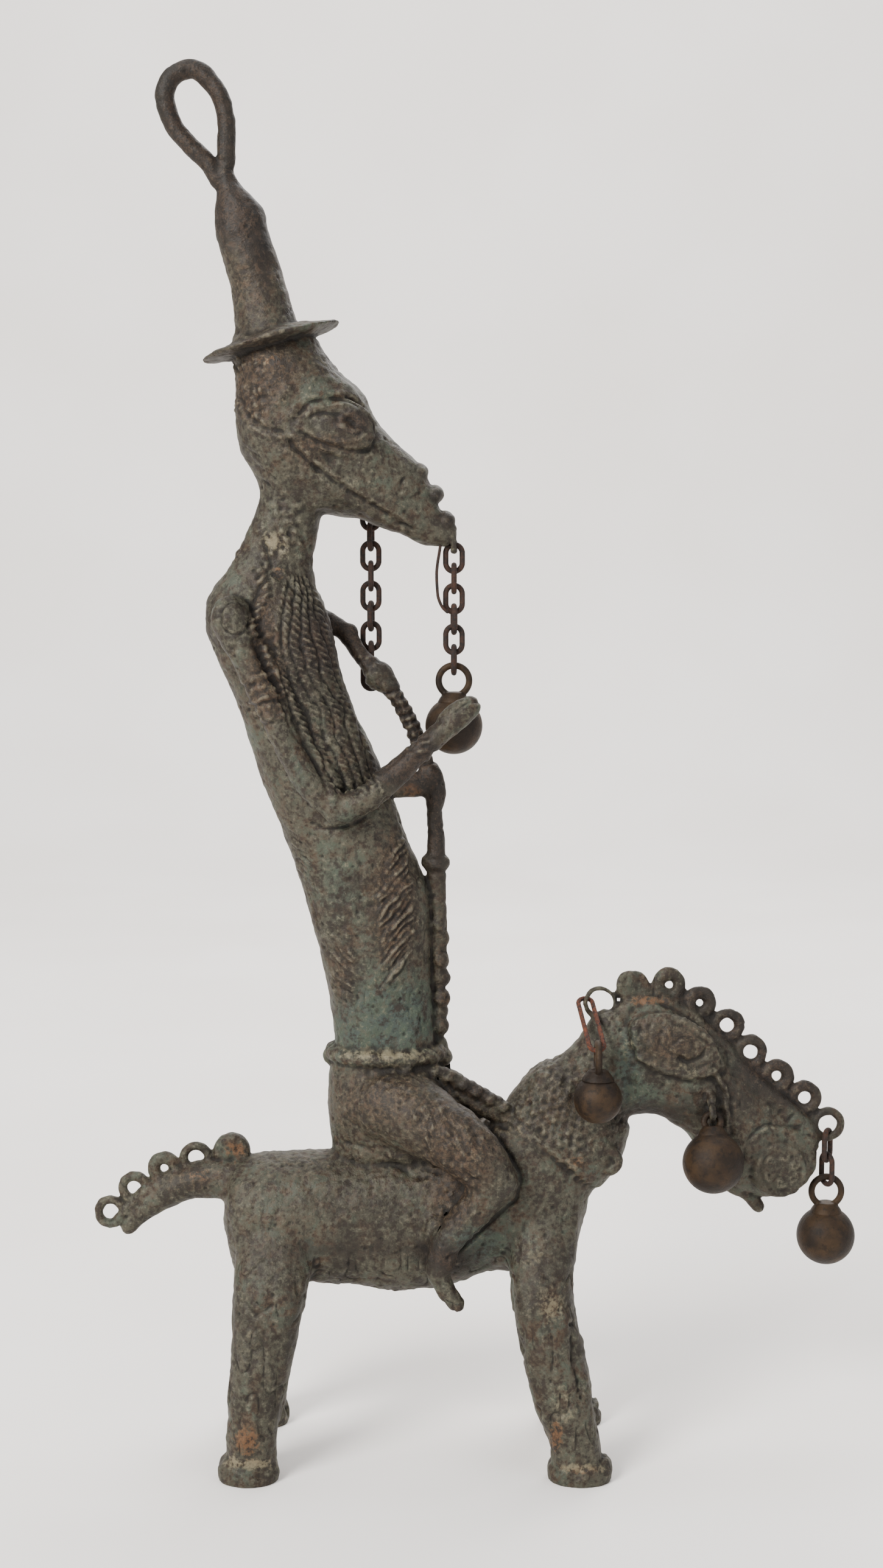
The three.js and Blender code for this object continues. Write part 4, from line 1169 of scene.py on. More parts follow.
    def lower_torso(self) -> None:
        """A slanting band of feathers, short furrows behind it and a small slot."""
        r = self.relief
        leaf = (
            (-36, 326), (-44, 312), (-51, 290), (-49.5, 266), (-50, 242), (-46, 235), (-38, 243),
            (-30, 262), (-29, 282), (-31, 306),
        )
        self.strokes(leaf, (-0.79, 0.613), 7.8, 1.7, 3.4)
        furrows = (
            (-76, 278), (-66, 280), (-58, 262), (-57, 236), (-66, 228), (-74, 238), (-76, 258),
        )
        self.strokes(furrows, (0.62, 0.78), 6.4, 1.2, 5.0)
        upper = ((-96, 336), (-84, 320), (-78, 296), (-86, 290), (-94, 310))
        self.strokes(upper, (0.5, 0.86), 6.4, 0.8, 5.0)
        r.line(((-31.6, 232.2), (-31.6, 224)), 1.3, -1.5)

    def strokes(
        self, outline: Path2, across: Pair, pitch: float, height: float, soft: float
    ) -> None:
        """Parallel strokes inside an outline, a pitch apart in a direction across them."""
        r = self.relief
        chosen, weight = r.patch(outline, soft)
        points = r.points[chosen]
        wobble = self.grain.at(points, 9.0) * 1.9 + self.grain.at(points + 9, 4.0) * 0.6
        phase = (r.u[chosen] * across[0] + r.v[chosen] * across[1] + wobble) / pitch
        step = phase - np.floor(phase)
        barbs = np.cos(6 * math.pi * phase + 2 * self.grain.at(points, 6.0))
        ridge = 1.7 * (step - smooth_step(0.72, 1.0, step)) + 0.35 * barbs
        worn = 0.45 + 0.55 * smooth_step(-0.4, 0.2, self.grain.at(points, 5.6))
        rough = (1 + 0.5 * self.grain.at(points, 2.6)) * worn
        r.height[chosen] += ridge * rough * height * 0.8 * weight * r.facing[chosen]

    def legs(self) -> None:
        """Line round the folded leg, its creases, and lumps at the knee."""
        r = self.relief
        edge = (
            (-13.5, 193.4), (-7, 182.7), (3.4, 174), (12.2, 165.2), (19, 154.4), (24, 142.7),
            (22, 134.2), (12.4, 124), (2.6, 115.2), (-5.8, 107.3), (-13.5, 101.4),
        )
        r.line(edge, 1.0, -1.3, all_round=True)
        r.lines((
            (1.5, -2.2, (50.9, 66), (51.9, 48.9), (53.8, 37.3), (55.8, 27)),
            (1.6, 1.2, (56, 66), (57.6, 48), (59, 30)),
        ), Side.NEAR, all_round=True)
        r.lines((
            (1.3, -1, (38.7, 66.3), (40.7, 48.9), (39.8, 36)),
            (1.4, -0.9, (-119, 78), (-112, 72), (-104, 76)),
        ), Side.NEAR)
        r.lines((
            (1.5, -0.9, (-75, 163), (-60, 161), (-46, 155), (-32, 150), (-17, 146)),
            (1.6, -1.3, (-46, 152.5), (-41, 151.4), (-37.3, 149.5), (-31.6, 145), (-24.9, 144.1)),
            (1.8, 0.7, (-43, 155.6), (-36, 153), (-29, 149), (-22, 148)),
            (1.5, -1.3, (-4.9, 146.6), (-1.1, 142.7), (4.6, 142.7)),
            (1.6, -0.7, (-16, 176), (-11, 168), (-10, 158), (-14, 150)),
            (1.4, 0.7, (-10, 178), (0, 172), (9, 164), (15, 153)),
        ))
        self.pebbled((
            (-34, 176), (-12, 188), (4, 176), (20, 158), (20, 142), (4, 122), (-16, 106),
            (-24, 112), (-20, 132),
        ), 5.4, 1.5, 5.0)
        self.pebbled((
            (-76, 204), (-18, 202), (-8, 184), (-24, 164), (-46, 158), (-74, 164),
        ), 4.8, 1.3, 6.0)
        self.strokes((
            (-38, 176), (-22, 188), (-4, 176), (10, 160), (6, 150), (-14, 154), (-30, 160),
        ), (0.9, 0.44), 6.6, 0.8, 5.0)
        self.pebbled(((-126, 158), (10, 172), (20, 120), (-20, 92), (-120, 92)), 4.4, 0.7, 8.0)

    def horse_head(self) -> None:
        """Eye with its rim and folds, cheek straps, plate of curls and the folds of the muzzle."""
        r = self.relief
        rim = (
            (79.7, 224.1), (82.6, 229.6), (90.4, 233.4), (97.4, 231.1), (107.9, 224.1),
            (118.4, 217), (124.6, 209.9), (124.8, 202.8), (119.5, 199), (111.7, 196.6),
            (103, 197.5), (94.2, 201.1), (86.4, 206.4), (81.1, 215.2),
        )
        r.line(rim, 1.5, 0.8, closed=True)
        r.lines((
            (2, 2.4, (84, 207), (92, 202.4), (103, 198.6), (112, 197.4), (120, 199.6),
             (125, 204), (125, 211)),
        ))
        outer = [(102 + (x - 102) * 1.13, 215 + (z - 215) * 1.17) for x, z in rim]
        r.line(outer, 1.6, -0.5, closed=True)
        inner = [(103 + (x - 103) * 0.8, 214 + (z - 214) * 0.76) for x, z in rim]
        r.line(inner, 1.1, -0.5, closed=True)
        r.lines((
            (1.1, -0.7, (84.4, 226.8), (82.8, 217.9)),
            (1.1, -0.8, (89.7, 226.1), (86.3, 209.9)),
            (1.1, -0.7, (94.9, 224.3), (92.5, 206.4)),
            (1, -0.5, (99.6, 221), (98, 206)),
        ))
        r.spot(106.4, 212.6, 5.6, 1.2, sharp=4)
        r.lines((
            (1.5, -1.9, (104, 206.4), (109, 203.6), (115.4, 206.6), (117.4, 211)),
            (0.9, -0.9, (101.6, 214.4), (105.4, 217.4), (110, 215), (112, 210.6)),
            (1.2, 1.1, (96.6, 202.8), (104, 200.2), (112, 199.6), (119, 202.6), (121, 208.4)),
            (1.5, -0.9, (123, 193.9), (128.4, 185.9), (130.3, 174.4), (131.2, 167.2)),
            (1.3, -1, (117, 187.7), (122.4, 178.8), (121.6, 169.9), (119.1, 165.4)),
        ))
        for k in range(4):
            x, z = 158.5 + 4.2 * k, 183 - 5.6 * k
            r.line(((150 + 5 * k, 170 - 1.2 * k), (x, z)), 1.0, -0.7)
        r.lines((
            (1.8, 1.2, (139, 161), (150.4, 170.4), (160, 168.4), (167.9, 165.4), (175, 160)),
            (1.1, -0.9, (137, 152), (140, 164), (150, 172), (164, 171)),
        ))
        self.curls()
        r.line(((141.2, 205), (150, 195), (163, 184), (172, 176)), 1.4, -0.5)
        self.pebbled((
            (124, 212), (140, 204), (168, 178), (160, 168), (140, 166), (126, 180),
        ), 4.6, 1.0, 5.0)
        self.pebbled((
            (64, 232), (70, 190), (104, 178), (130, 164), (126, 190), (100, 196), (84, 208),
            (78, 230),
        ), 5.0, 0.9, 5.0)

    def curls(self) -> None:
        """The cheek plate: a raised edge round small curls."""
        r = self.relief
        x, z, radius = self.plate
        r.line(oval(x, z, radius, radius, 28), 1.2, 0.4)
        r.line(oval(x, z, 10.9, 10.9, 24), 0.9, -0.4)
        turns = np.arange(6) * math.pi / 3 + 0.4
        places = [(0.0, 0.0)] + [(6.6 * math.cos(a), 6.6 * math.sin(a)) for a in turns]
        for number, (dx, dz) in enumerate(places):
            spin = number * 1.3
            r.line([
                (x + dx + (0.7 + 0.36 * a) * math.cos(a + spin),
                 z + dz + (0.7 + 0.36 * a) * math.sin(a + spin))
                for a in np.linspace(0, 5.6, 12)
            ], 0.75, 0.95)
        chosen, weight = r.patch(oval(x, z, 11, 11, 20, 6.2), 1.5)
        r.height[chosen] -= 0.45 * weight

    def collar(self) -> None:
        """The woven band and its pale edge."""
        r = self.relief
        band = (
            (17.5, 175.5), (25, 197), (35, 205.5), (45, 206), (54, 212), (64, 208), (78, 176),
            (76, 168), (56, 149), (38.9, 160.5),
        )
        chosen, weight = r.patch(band, 2.0)
        points = r.points[chosen]
        u, v = r.u[chosen], r.v[chosen]
        along = u * 0.79 - v * 0.61 + self.grain.at(points, 9.0) * 0.8
        over = u * 0.61 + v * 0.79 + self.grain.at(points + 50, 9.0) * 0.8
        row = np.floor(over / 4.2)
        weave = np.cos(2 * math.pi * (along / 4.6 + 0.5 * (row % 2)))
        weave *= np.abs(np.sin(math.pi * over / 4.2))
        lumps = 0.8 - 1.3 * self.grain.pebbles(points, 4.4)
        r.height[chosen] += (0.3 * weave + 0.9 * lumps + 0.4 * self.grain.at(points, 2.4)) * weight
        low = ((16, 174), (29.4, 166), (38.9, 158.8), (48.5, 152), (56, 147))
        r.line(low, 1.5, 1.1, all_round=True)
        r.line([(x - 2.4, z - 2.8) for x, z in low], 1.3, -0.8, all_round=True)

    def skin(self) -> None:
        """The rough skin of the casting, rougher on neck, legs and horse."""
        r, points = self.relief, self.relief.points
        body = 0.6 * self.grain.at(points, 14.0) + 0.32 * self.grain.at(points + 31, 5.4)
        fine = 0.26 * self.grain.at(points + 77, 2.6)
        flat = smooth_step(2.0, 9.0, points[:, 2])
        small = smooth_step(8.0, 14.0, np.hypot(points[:, 1], 6.0) + 6)
        r.height += (body * (0.35 + 0.65 * small) + fine) * (0.25 + 0.75 * flat)
        z = points[:, 2]
        legs = smooth_step(128, 100, z) * smooth_step(10, 18, z)
        torso = smooth_step(214, 226, z) * smooth_step(350, 320, z)
        long = self.grain.at(points * np.array([1, 1, 0.4]) + 9, 4.4)
        open_here = smooth_step(-0.2, 0.3, self.grain.at(points + 90, 9.0))
        cracks = np.exp(-((long / 0.13) ** 2)) * open_here
        r.height += (1.0 * legs + 0.6 * torso) * (0.55 * long - 0.75 * cracks)
        pits = self.grain.pebbles(points, 6.0)
        r.height -= 0.6 * np.exp(-((pits / 0.17) ** 2)) * flat


# Names of the colour patches; the dark one is partly painted shade.
STAINS_AND_SHADE = ("verdigris", "brown", "dark", "ochre", "cream")
PIECES = (
    "rider_head", "rider_chest", "rider_waist", "horse_head", "horse_rear", "horse_front",
    "horse_legs",
)


@dataclass
class PatinaAndShade:
    """Where each colour of the bronze lies, as soft patches on the side view, some of the dark ones
    painted shade.
    """

    relief: Relief

    def patches(self, spots: Table) -> Array:
        """Sums soft patches of middle, half sizes and strength."""
        total = np.zeros(len(self.relief.points))
        for u, v, reach_u, reach_v, strength in spots:
            distance = ((self.relief.u - u) / reach_u) ** 2 + ((self.relief.v - v) / reach_v) ** 2
            total += strength * np.exp(-distance)
        return np.clip(total, 0, 1)

    def verdigris(self) -> Array:
        """Blue-green on the lower torso, under the nape, at the belly and the arm."""
        return self.patches((
            (-52, 222, 34, 22, 0.95), (-52, 262, 16, 34, 0.45), (-70, 300, 14, 26, 0.5),
            (-88, 352, 8, 24, 0.6), (-30, 238, 14, 20, 0.4), (78, 206, 9, 26, 0.9),
            (92, 186, 18, 12, 0.6), (0, 108, 26, 16, 0.95), (-62, 330, 14, 8, 0.5),
            (48, 120, 10, 26, 0.3), (40, 80, 12, 20, 0.35), (-98, 466, 12, 12, 0.35),
            (150, 168, 16, 7, 0.5), (60, 144, 8, 10, 0.5), (-44, 92, 30, 10, 0.3),
            (168, 150, 8, 14, 0.3),
        ))

    def brown(self) -> Array:
        """Warm brown on the face, hips, thighs, brim, collar and horse's eye."""
        return self.patches((
            (-86, 508, 16, 14, 0.5), (-50, 486, 26, 8, 0.4), (-108, 538, 12, 16, 1),
            (-70, 516, 20, 5, 0.7), (-96, 552, 30, 12, 0.6), (-46, 186, 36, 22, 0.75),
            (-6, 158, 22, 24, 0.95), (-12, 128, 12, 20, 0.8), (-108, 598, 20, 40, 0.7),
            (100, 214, 22, 15, 0.8), (42, 180, 24, 26, 0.6), (-42, 280, 12, 36, 0.75),
            (-66, 250, 9, 24, 0.7), (-104, 394, 12, 16, 0.9), (-106, 430, 5, 26, 0.9),
            (-80, 148, 40, 20, 0.35), (-98, 110, 24, 26, 0.3), (-20, 345, 18, 10, 0.9),
            (140, 186, 22, 22, 0.35), (-132, 644, 22, 30, 0.3), (-100, 330, 14, 50, 0.35),
            (-15, 245, 7, 34, 0.7), (-148, 142, 26, 9, 0.5), (-40, 292, 11, 34, 0.6),
            (-22, 345, 10, 10, 0.8), (-104, 414, 8, 20, 0.6), (-84, 430, 14, 22, 0.35),
            (-66, 386, 12, 34, 0.35),
        ))

    def dark(self) -> Array:
        """Nearly black brown on the loop, the cap, the mane, the far arm and the underside; the
        patches under the brim and along the belly's underside are painted shade.
        """
        # Painted shade: the patch under the brim at (-128, 557) and the wide ones along the belly's
        # underside near z 106 and 130.
        return self.patches((
            (-136, 676, 26, 40, 1.2), (-116, 626, 20, 22, 0.9), (-104, 600, 8, 24, 0.5),
            (-128, 557, 12, 6, 0.6), (-62, 419, 26, 16, 1.7), (-34, 378, 14, 24, 1.2),
            (-19, 320, 9, 38, 0.9), (-96, 566, 34, 6, 0.4), (-60, 526, 7, 5.5, 1.8),
            (-68, 527, 10, 5, 0.6), (110, 180, 22, 10, 0.45), (-36, 476, 22, 7, 0.4),
            (30, 196, 6, 10, 0.2), (-12, 98, 14, 9, 0.8), (-66, 250, 8, 24, 0.35),
            (2, 190, 20, 9, 0.9), (-120, 168, 10, 6, 0.5), (58, 70, 5, 40, 0.4),
            (-92, 60, 5, 36, 0.4), (-15, 240, 5, 40, 0.5), (-104, 430, 22, 26, 0.2),
            (-84, 384, 14, 40, 0.3), (-19, 490.5, 5, 5, 0.8), (-14, 479, 5.5, 5, 0.8),
            (-6, 469, 6, 6, 0.6), (-20, 110, 10, 10, 0.3), (86, 242, 16, 8, 0.45),
            (112, 238, 13, 9, 0.95), (130, 223, 12, 11, 1), (148, 205, 12, 11, 1),
            (166, 190, 12, 11, 1), (180, 173, 9, 9, 0.8), (136, 192, 22, 18, 0.5),
            (84, 176, 18, 8, 0.75), (-86, 300, 8, 60, 0.3), (-60, 130, 50, 14, 0.45),
            (-110, 70, 20, 44, 0.38), (38, 86, 22, 46, 0.48), (-60, 106, 56, 8, 0.6),
            (-40, 354, 26, 11, 0.75), (-56, 230, 24, 22, 0.25), (150, 158, 24, 20, 0.3),
            (150, 150, 20, 20, 0.25), (-66, 160, 30, 6, 0.3),
        ))

    def ochre(self) -> Array:
        """Orange stains on the tail root, hooves, nape, forehead and strut."""
        return self.patches((
            (-122, 158, 8, 6, 1), (-140, 146, 14, 5, 0.6), (-118, 4, 8, 10, 1.1),
            (-112, -8, 12, 3, 0.4), (42, 6, 5, 11, 1), (56, -12, 16, 3, 0.8),
            (86, 236, 12, 3.4, 0.95), (96, 240, 5, 5, 0.5), (-100, 556, 14, 5, 0.6),
            (-31, 345, 8, 6, 0.95), (52, 152, 7, 7, 0.7), (-95, 420, 6, 12, 0.35),
            (-40, 268, 7, 12, 0.4), (-14, 236, 5, 8, 0.6), (-4, 160, 14, 9, 0.4),
            (-150, 138, 20, 5, 0.35), (-98, 452, 4, 8, 0.7), (-103, 397, 4, 7, 0.5),
        ))

    def cream(self) -> Array:
        """Pale crust on the hoof rims and a few other edges."""
        return self.patches((
            (-113, -9, 20, 4, 0.8), (-126, -4, 4, 8, 0.6), (56, -11, 20, 3.6, 0.85),
            (-100, 556, 16, 4, 0.4), (20, 170, 14, 4, 0.4), (-104, 398, 10, 16, 0.35),
            (-42, 296, 8, 20, 0.35), (-60, 500, 34, 18, 0.34), (-84, 540, 20, 12, 0.35),
            (-104, 466, 10, 10, 0.5), (78, 212, 7, 12, 0.6), (40, 76, 10, 13, 0.85),
            (31, 104, 10, 12, 0.6), (47, 24, 9, 16, 0.6), (-96, 466, 8, 11, 0.45),
            (-114, 60, 10, 44, 0.32), (-58, 240, 22, 26, 0.28), (-70, 300, 12, 40, 0.3),
            (-46, 208, 32, 5, 0.85), (-60, 122, 50, 12, 0.24), (60, 158, 8, 8, 0.4),
            (-170, 132, 22, 8, 0.35), (108, 200, 16, 5, 0.5), (-2, 156, 12, 10, 0.3),
        ))


@dataclass
class Casting:
    """The bronze casting, shaped as one skin and parted at belt, chest, neck and collar."""

    horse: Horse
    rider: Rider
    rough_voxel: float = 1.6
    fine_voxel: float = 0.9
    rough_rounds: int = 9
    fine_rounds: int = 2
    hip_rounds: int = 26
    seam_rounds: int = 24
    bend_rounds: int = 2
    broad_rounds: int = 14
    sole_height: float = 0.9
    sole_relief: float = 0.35
    slant: Pair = (0.61, 0.79)
    collar_cut: float = 177.0
    cuts: tuple[float, float, float] = (466.0, 322.0, 204.0)
    leg_cut: float = 128.0
    rear_cut: float = -32.0

    def build(self) -> list[Object]:
        """Builds, carves and parts the casting.

        Returns:
            Its pieces.
        """
        masses = mesh_of("masses", self.horse.masses() + self.rider.masses())
        body = fused(masses, self.rough_voxel)
        flow = Skin(body.data)
        flow.relax(self.rough_rounds)
        flow.melt(self.hips(flow.points), self.hip_rounds)
        flow.write()
        horse, rider = self.horse, self.rider
        details = mesh_of("details", [
            *horse.hooves(), *horse.ridges(), *horse.rings(), *horse.face(), *horse.collar(),
            *rider.hat(), *rider.face(), *rider.arms(), *rider.belt(), *rider.eyelets(),
        ])
        whole = fused(joined("casting", [body, details]), self.fine_voxel)
        LOG.info("casting has %d points", len(whole.data.vertices))
        skin = Skin(whole.data)
        skin.relax(self.fine_rounds)
        skin.melt(self.seam(skin.points), self.seam_rounds)
        skin.write()
        relief = Relief(skin.points.copy(), skin.normals())
        height = Carving(relief).cut()
        skin.points += relief.normals * height[:, None]
        above = np.maximum(skin.points[:, 2], 0.0)
        sole = relief.points[:, 2] < self.sole_height
        skin.points[:, 2] = np.where(sole, above * self.sole_relief, above)
        low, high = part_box("horse_and_rider")
        np.clip(skin.points, np.array(low) / MM, np.array(high) / MM, out=skin.points)
        skin.write()
        self.colour(skin, relief)
        return self.part(whole)

    def hips(self, points: Array) -> Array:
        """How much the skin flows together where the rider sits on the horse."""
        x, _, z = points.T
        return (
            smooth_step(-84, -74, x) * smooth_step(4, -8, x)
            * smooth_step(156, 168, z) * smooth_step(204, 196, z)
        )

    def seam(self, points: Array) -> Array:
        """How much the skin flows together below the crest, between its ridge and the head."""
        x, z = points[:, 0], points[:, 2]
        away = path_distance(x, z, along_rows(self.horse.crest, 2.0, slice(0, 2)))
        return smooth_step(9.0, 11.0, away) * smooth_step(21, 17, away) * smooth_step(78, 86, x)

    def colour(self, skin: Skin, relief: Relief) -> None:
        """Writes the colour patches, some of them painted shade, and the hollows and ridges as
        point attributes, the hollows for dirt and painted shade and the ridges for wear and painted
        highlights.
        """
        patina = PatinaAndShade(relief)
        normals = skin.normals()
        bend = ((skin.neighbour_mean(skin.points) - skin.points) * normals).sum(1)
        for _ in range(self.bend_rounds):
            bend = 0.5 * bend + 0.5 * skin.neighbour_mean(bend)
        broad = bend.copy()
        for _ in range(self.broad_rounds):
            broad = skin.neighbour_mean(broad)
        # Hollows darken with dirt and painted shade, ridges lighten with wear and painted
        # highlights.
        hollow = np.clip((bend - broad) * 6.0 + np.maximum(broad, 0) * 14.0, -1, 1)
        self.store(skin.mesh, "hollow", hollow)
        for name in STAINS_AND_SHADE:
            self.store(skin.mesh, name, getattr(patina, name)())

    @staticmethod
    def store(mesh: Mesh, name: str, values: Array) -> None:
        """Stores one number for each point."""
        column = mesh.attributes.new(name, "FLOAT", "POINT").data
        column.foreach_set("value", values.astype(np.float32))

    def part(self, whole: Object) -> list[Object]:
        """Parts the skin into closed pieces whose shading still meets."""
        mesh = whole.data
        skin = Skin(mesh)
        normals = skin.normals()
        quads = numbers(mesh.polygons, "vertices", 4, np.int32)
        middle = skin.points[quads].mean(1)
        x, z = middle[:, 0], middle[:, 2]
        horse_head = (x > 20) & (self.slant[0] * x + self.slant[1] * z > self.collar_cut)
        region = np.where(x < self.rear_cut, 4, np.where(z > self.leg_cut, 5, 6))
        for number, level in reversed(list(enumerate(self.cuts))):
            region = np.where(z > level, number, region)
        region = np.where(horse_head, 3, region)
        stored = {
            key: numbers(mesh.attributes[key].data, "value") for key in ("hollow", *STAINS_AND_SHADE)
        }
        pieces = []
        for number, name in enumerate(PIECES):
            chosen = quads[region == number]
            used, compact = np.unique(chosen, return_inverse=True)
            pieces.append(self.piece(
                name, skin.points[used], compact.reshape(-1, 4), normals[used],
                {key: value[used] for key, value in stored.items()},
            ))
        bpy.data.objects.remove(whole)
        return pieces

    def piece(
        self, name: str, points: Array, quads: Array, normals: Array,
        stored: dict[str, Array],
    ) -> Object:
        """Makes one part of the skin and closes it where it was cut.

        Args:
            name: The piece's name.
            points: Its points in millimetres.
            quads: Its faces.
            normals: Normals of the whole skin at its points.
            stored: Attribute values at its points.

        Returns:
            The closed piece.
        """
        faces, centres = quads.tolist(), []
        for loop in self.open_loops(quads, len(points)):
            centre = len(points) + len(centres)
            centres.append(points[loop].mean(0))
            faces += [[b, a, centre] for a, b in zip(loop, loop[1:] + loop[:1])]
        points = np.vstack([points, *centres])
        normals = np.vstack([normals, np.tile([0.0, 0.0, 1.0], (len(centres), 1))])
        piece = new_piece(name, points * MM, faces)
        piece.data.normals_split_custom_set_from_vertices(normals.tolist())
        blank = np.zeros(len(centres), np.float32)
        for key, values in stored.items():
            self.store(piece.data, key, np.concatenate([values, blank]))
        LOG.info("%s: %d faces", name, len(faces))
        return piece

    @staticmethod
    def open_loops(quads: Array, count: int) -> list[list[int]]:
        """The loops of points along the open edges of some faces.

        Args:
            quads: The faces.
            count: How many points they have.

        Returns:
            The loops, each in the order of its faces' edges.
        """
        edges = np.concatenate([quads[:, [i, (i + 1) % 4]] for i in range(4)]).astype(np.int64)
        there, back = edges @ [count, 1], edges @ [1, count]
        following: dict[int, list[int]] = {}
        for a, b in edges[~np.isin(there, back)].tolist():
            following.setdefault(a, []).append(b)
        loops = []
        while following:
            loop = [next(iter(following))]
            while True:
                choices = following[loop[-1]]
                step = choices.pop()
                if not choices:
                    del following[loop[-1]]
                if step == loop[0]:
                    break
                loop.append(step)
            loops.append(loop)
        return loops


# Nodes


def added_node(
    tree: NodeTree, kind: str, settings: dict[str, Any] | None, inputs: dict | None
) -> Node:
    """Adds one node to a tree.

    Args:
        tree: The tree.
        kind: The node's type.
        settings: Its properties.
        inputs: Values, waves or sockets by input name or number.

    Returns:
        The node.
    """
    node = tree.nodes.new(kind)
    for key, value in (settings or {}).items():
        setattr(node, key, value)
    for key, value in (inputs or {}).items():
        feed(tree, node.inputs[key], value)
    return node


def feed(tree: NodeTree, socket: NodeSocket, value: Any) -> None:
    """Links a wave or another node's socket to a socket, or sets its value."""
    value = value.socket if isinstance(value, Wave) else value
    if isinstance(value, NodeSocket):
        tree.links.new(value, socket)
    else:
        socket.default_value = value


@dataclass
class GeometryTree:
    """Makes the nodes of one geometry tree."""

    tree: NodeTree

    @classmethod
    def named(cls, name: str, inputs: dict[str, tuple[str, Any]]) -> GeometryTree:
        """Starts a tree with named inputs.

        Args:
            name: The tree's name.
            inputs: Socket type and default value by input name.

        Returns:
            The tree with its group nodes.
        """
        tree = bpy.data.node_groups.new(name, "GeometryNodeTree")
        for key, (kind, value) in inputs.items():
            socket = tree.interface.new_socket(key, in_out="INPUT", socket_type=kind)
            if value is not None:
                socket.default_value = value
        tree.interface.new_socket("Geometry", in_out="OUTPUT", socket_type="NodeSocketGeometry")
        tree.nodes.new("NodeGroupInput")
        tree.nodes.new("NodeGroupOutput")
        return cls(tree)

    def given(self, name: str) -> NodeSocket:
        """The group input of that name."""
        return self.tree.nodes["Group Input"].outputs[name]

    def node(
        self, kind: str, settings: dict[str, Any] | None = None, inputs: dict | None = None
    ) -> Node:
        """Adds one node with its settings and inputs."""
        return added_node(self.tree, kind, settings, inputs)

    def math(self, operation: str, a: Any, b: Any = 0.0) -> NodeSocket:
        """One sum on numbers."""
        return self.node("ShaderNodeMath", {"operation": operation}, {0: a, 1: b}).outputs[0]

    def finish(self, geometry: NodeSocket, material: Material) -> NodeTree:
        """Ends the tree in Realize Instances and Set Material."""
        real = self.node("GeometryNodeRealizeInstances", {}, {"Geometry": geometry})
        smooth = self.node("GeometryNodeSetShadeSmooth", {}, {"Geometry": real.outputs[0]})
        inputs = {"Geometry": smooth.outputs[0], "Material": material}
        dressed = self.node("GeometryNodeSetMaterial", {}, inputs)
        self.tree.links.new(dressed.outputs[0], self.tree.nodes["Group Output"].inputs[0])
        return self.tree


def grown(name: str, tree: NodeTree, values: dict[str, Any]) -> Object:
    """Runs a geometry tree and keeps its result as a plain mesh.

    Args:
        name: The new piece's name.
        tree: The geometry tree.
        values: Input values by name.

    Returns:
        The piece.
    """
    piece = placed(name, bpy.data.meshes.new(name))
    modifier = piece.modifiers.new(name, "NODES")
    modifier.node_group = tree
    for item in tree.interface.items_tree:
        if item.in_out == "INPUT" and item.name in values:
            modifier[item.identifier] = values[item.name]
    return evaluated(piece)


def chain_tree(material: Material) -> NodeTree:
    """Links of one size hung in a row, each turned against the last."""
    real, whole = "NodeSocketFloat", "NodeSocketInt"
    build = GeometryTree.named("chain of links", {
        "Length": (real, 0.016), "Width": (real, 0.011), "Wire": (real, 0.0028),
        "Pitch": (real, 0.0101), "Count": (whole, 6), "Turn": (real, QUARTER),
        "First turn": (real, 0.0), "Wobble": (real, 0.1), "Seed": (whole, 3),
    })
    given, node, sums = build.given, build.node, build.math

    def made(kind: str, settings: dict[str, Any], inputs: dict) -> NodeSocket:
        """Adds a node and gives its first output."""
        return node(kind, settings, inputs).outputs[0]

    wide = sums("SUBTRACT", given("Width"), given("Wire"))
    tall = sums("SUBTRACT", given("Length"), given("Wire"))
    frame = made(
        "GeometryNodeCurvePrimitiveQuadrilateral", {"mode": "RECTANGLE"},
        {"Width": wide, "Height": tall},
    )
    corner = sums("MULTIPLY", wide, 0.499)
    link = made(
        "GeometryNodeFilletCurve", {"mode": "POLY"},
        {"Curve": frame, "Radius": corner, "Count": CORNER_STEPS},
    )
    even = made(
        "GeometryNodeResampleCurve", {"mode": "COUNT"}, {"Curve": link, "Count": LINK_POINTS}
    )
    half = sums("MULTIPLY", given("Wire"), 0.5)
    section = made(
        "GeometryNodeCurvePrimitiveCircle", {"mode": "RADIUS"},
        {"Resolution": WIRE_SIDES, "Radius": half},
    )
    tube = made("GeometryNodeCurveToMesh", {}, {"Curve": even, "Profile Curve": section})
    upright = made(
        "GeometryNodeTransform", {}, {"Geometry": tube, "Rotation": (QUARTER, 0.0, 0.0)}
    )
    step = sums("MULTIPLY", given("Pitch"), -1.0)
    offset = made("ShaderNodeCombineXYZ", {}, {"Z": step})
    row = made(
        "GeometryNodeMeshLine", {"mode": "OFFSET"}, {"Count": given("Count"), "Offset": offset}
    )
    number = made("GeometryNodeInputIndex", {}, {})
    swing = node(
        "FunctionNodeRandomValue", {"data_type": "FLOAT"}, {2: -1.0, 3: 1.0, "Seed": given("Seed")}
    ).outputs[1]
    turn = sums("MULTIPLY", number, given("Turn"))
    turn = sums("ADD", turn, given("First turn"))
    turn = sums("ADD", turn, sums("MULTIPLY", swing, given("Wobble")))
    angles = made("ShaderNodeCombineXYZ", {}, {"Z": turn})
    spin = made("FunctionNodeEulerToRotation", {}, {0: angles})
    hung = made(
        "GeometryNodeInstanceOnPoints", {}, {"Points": row, "Instance": upright, "Rotation": spin}
    )
    return build.finish(hung, material)


# Materials


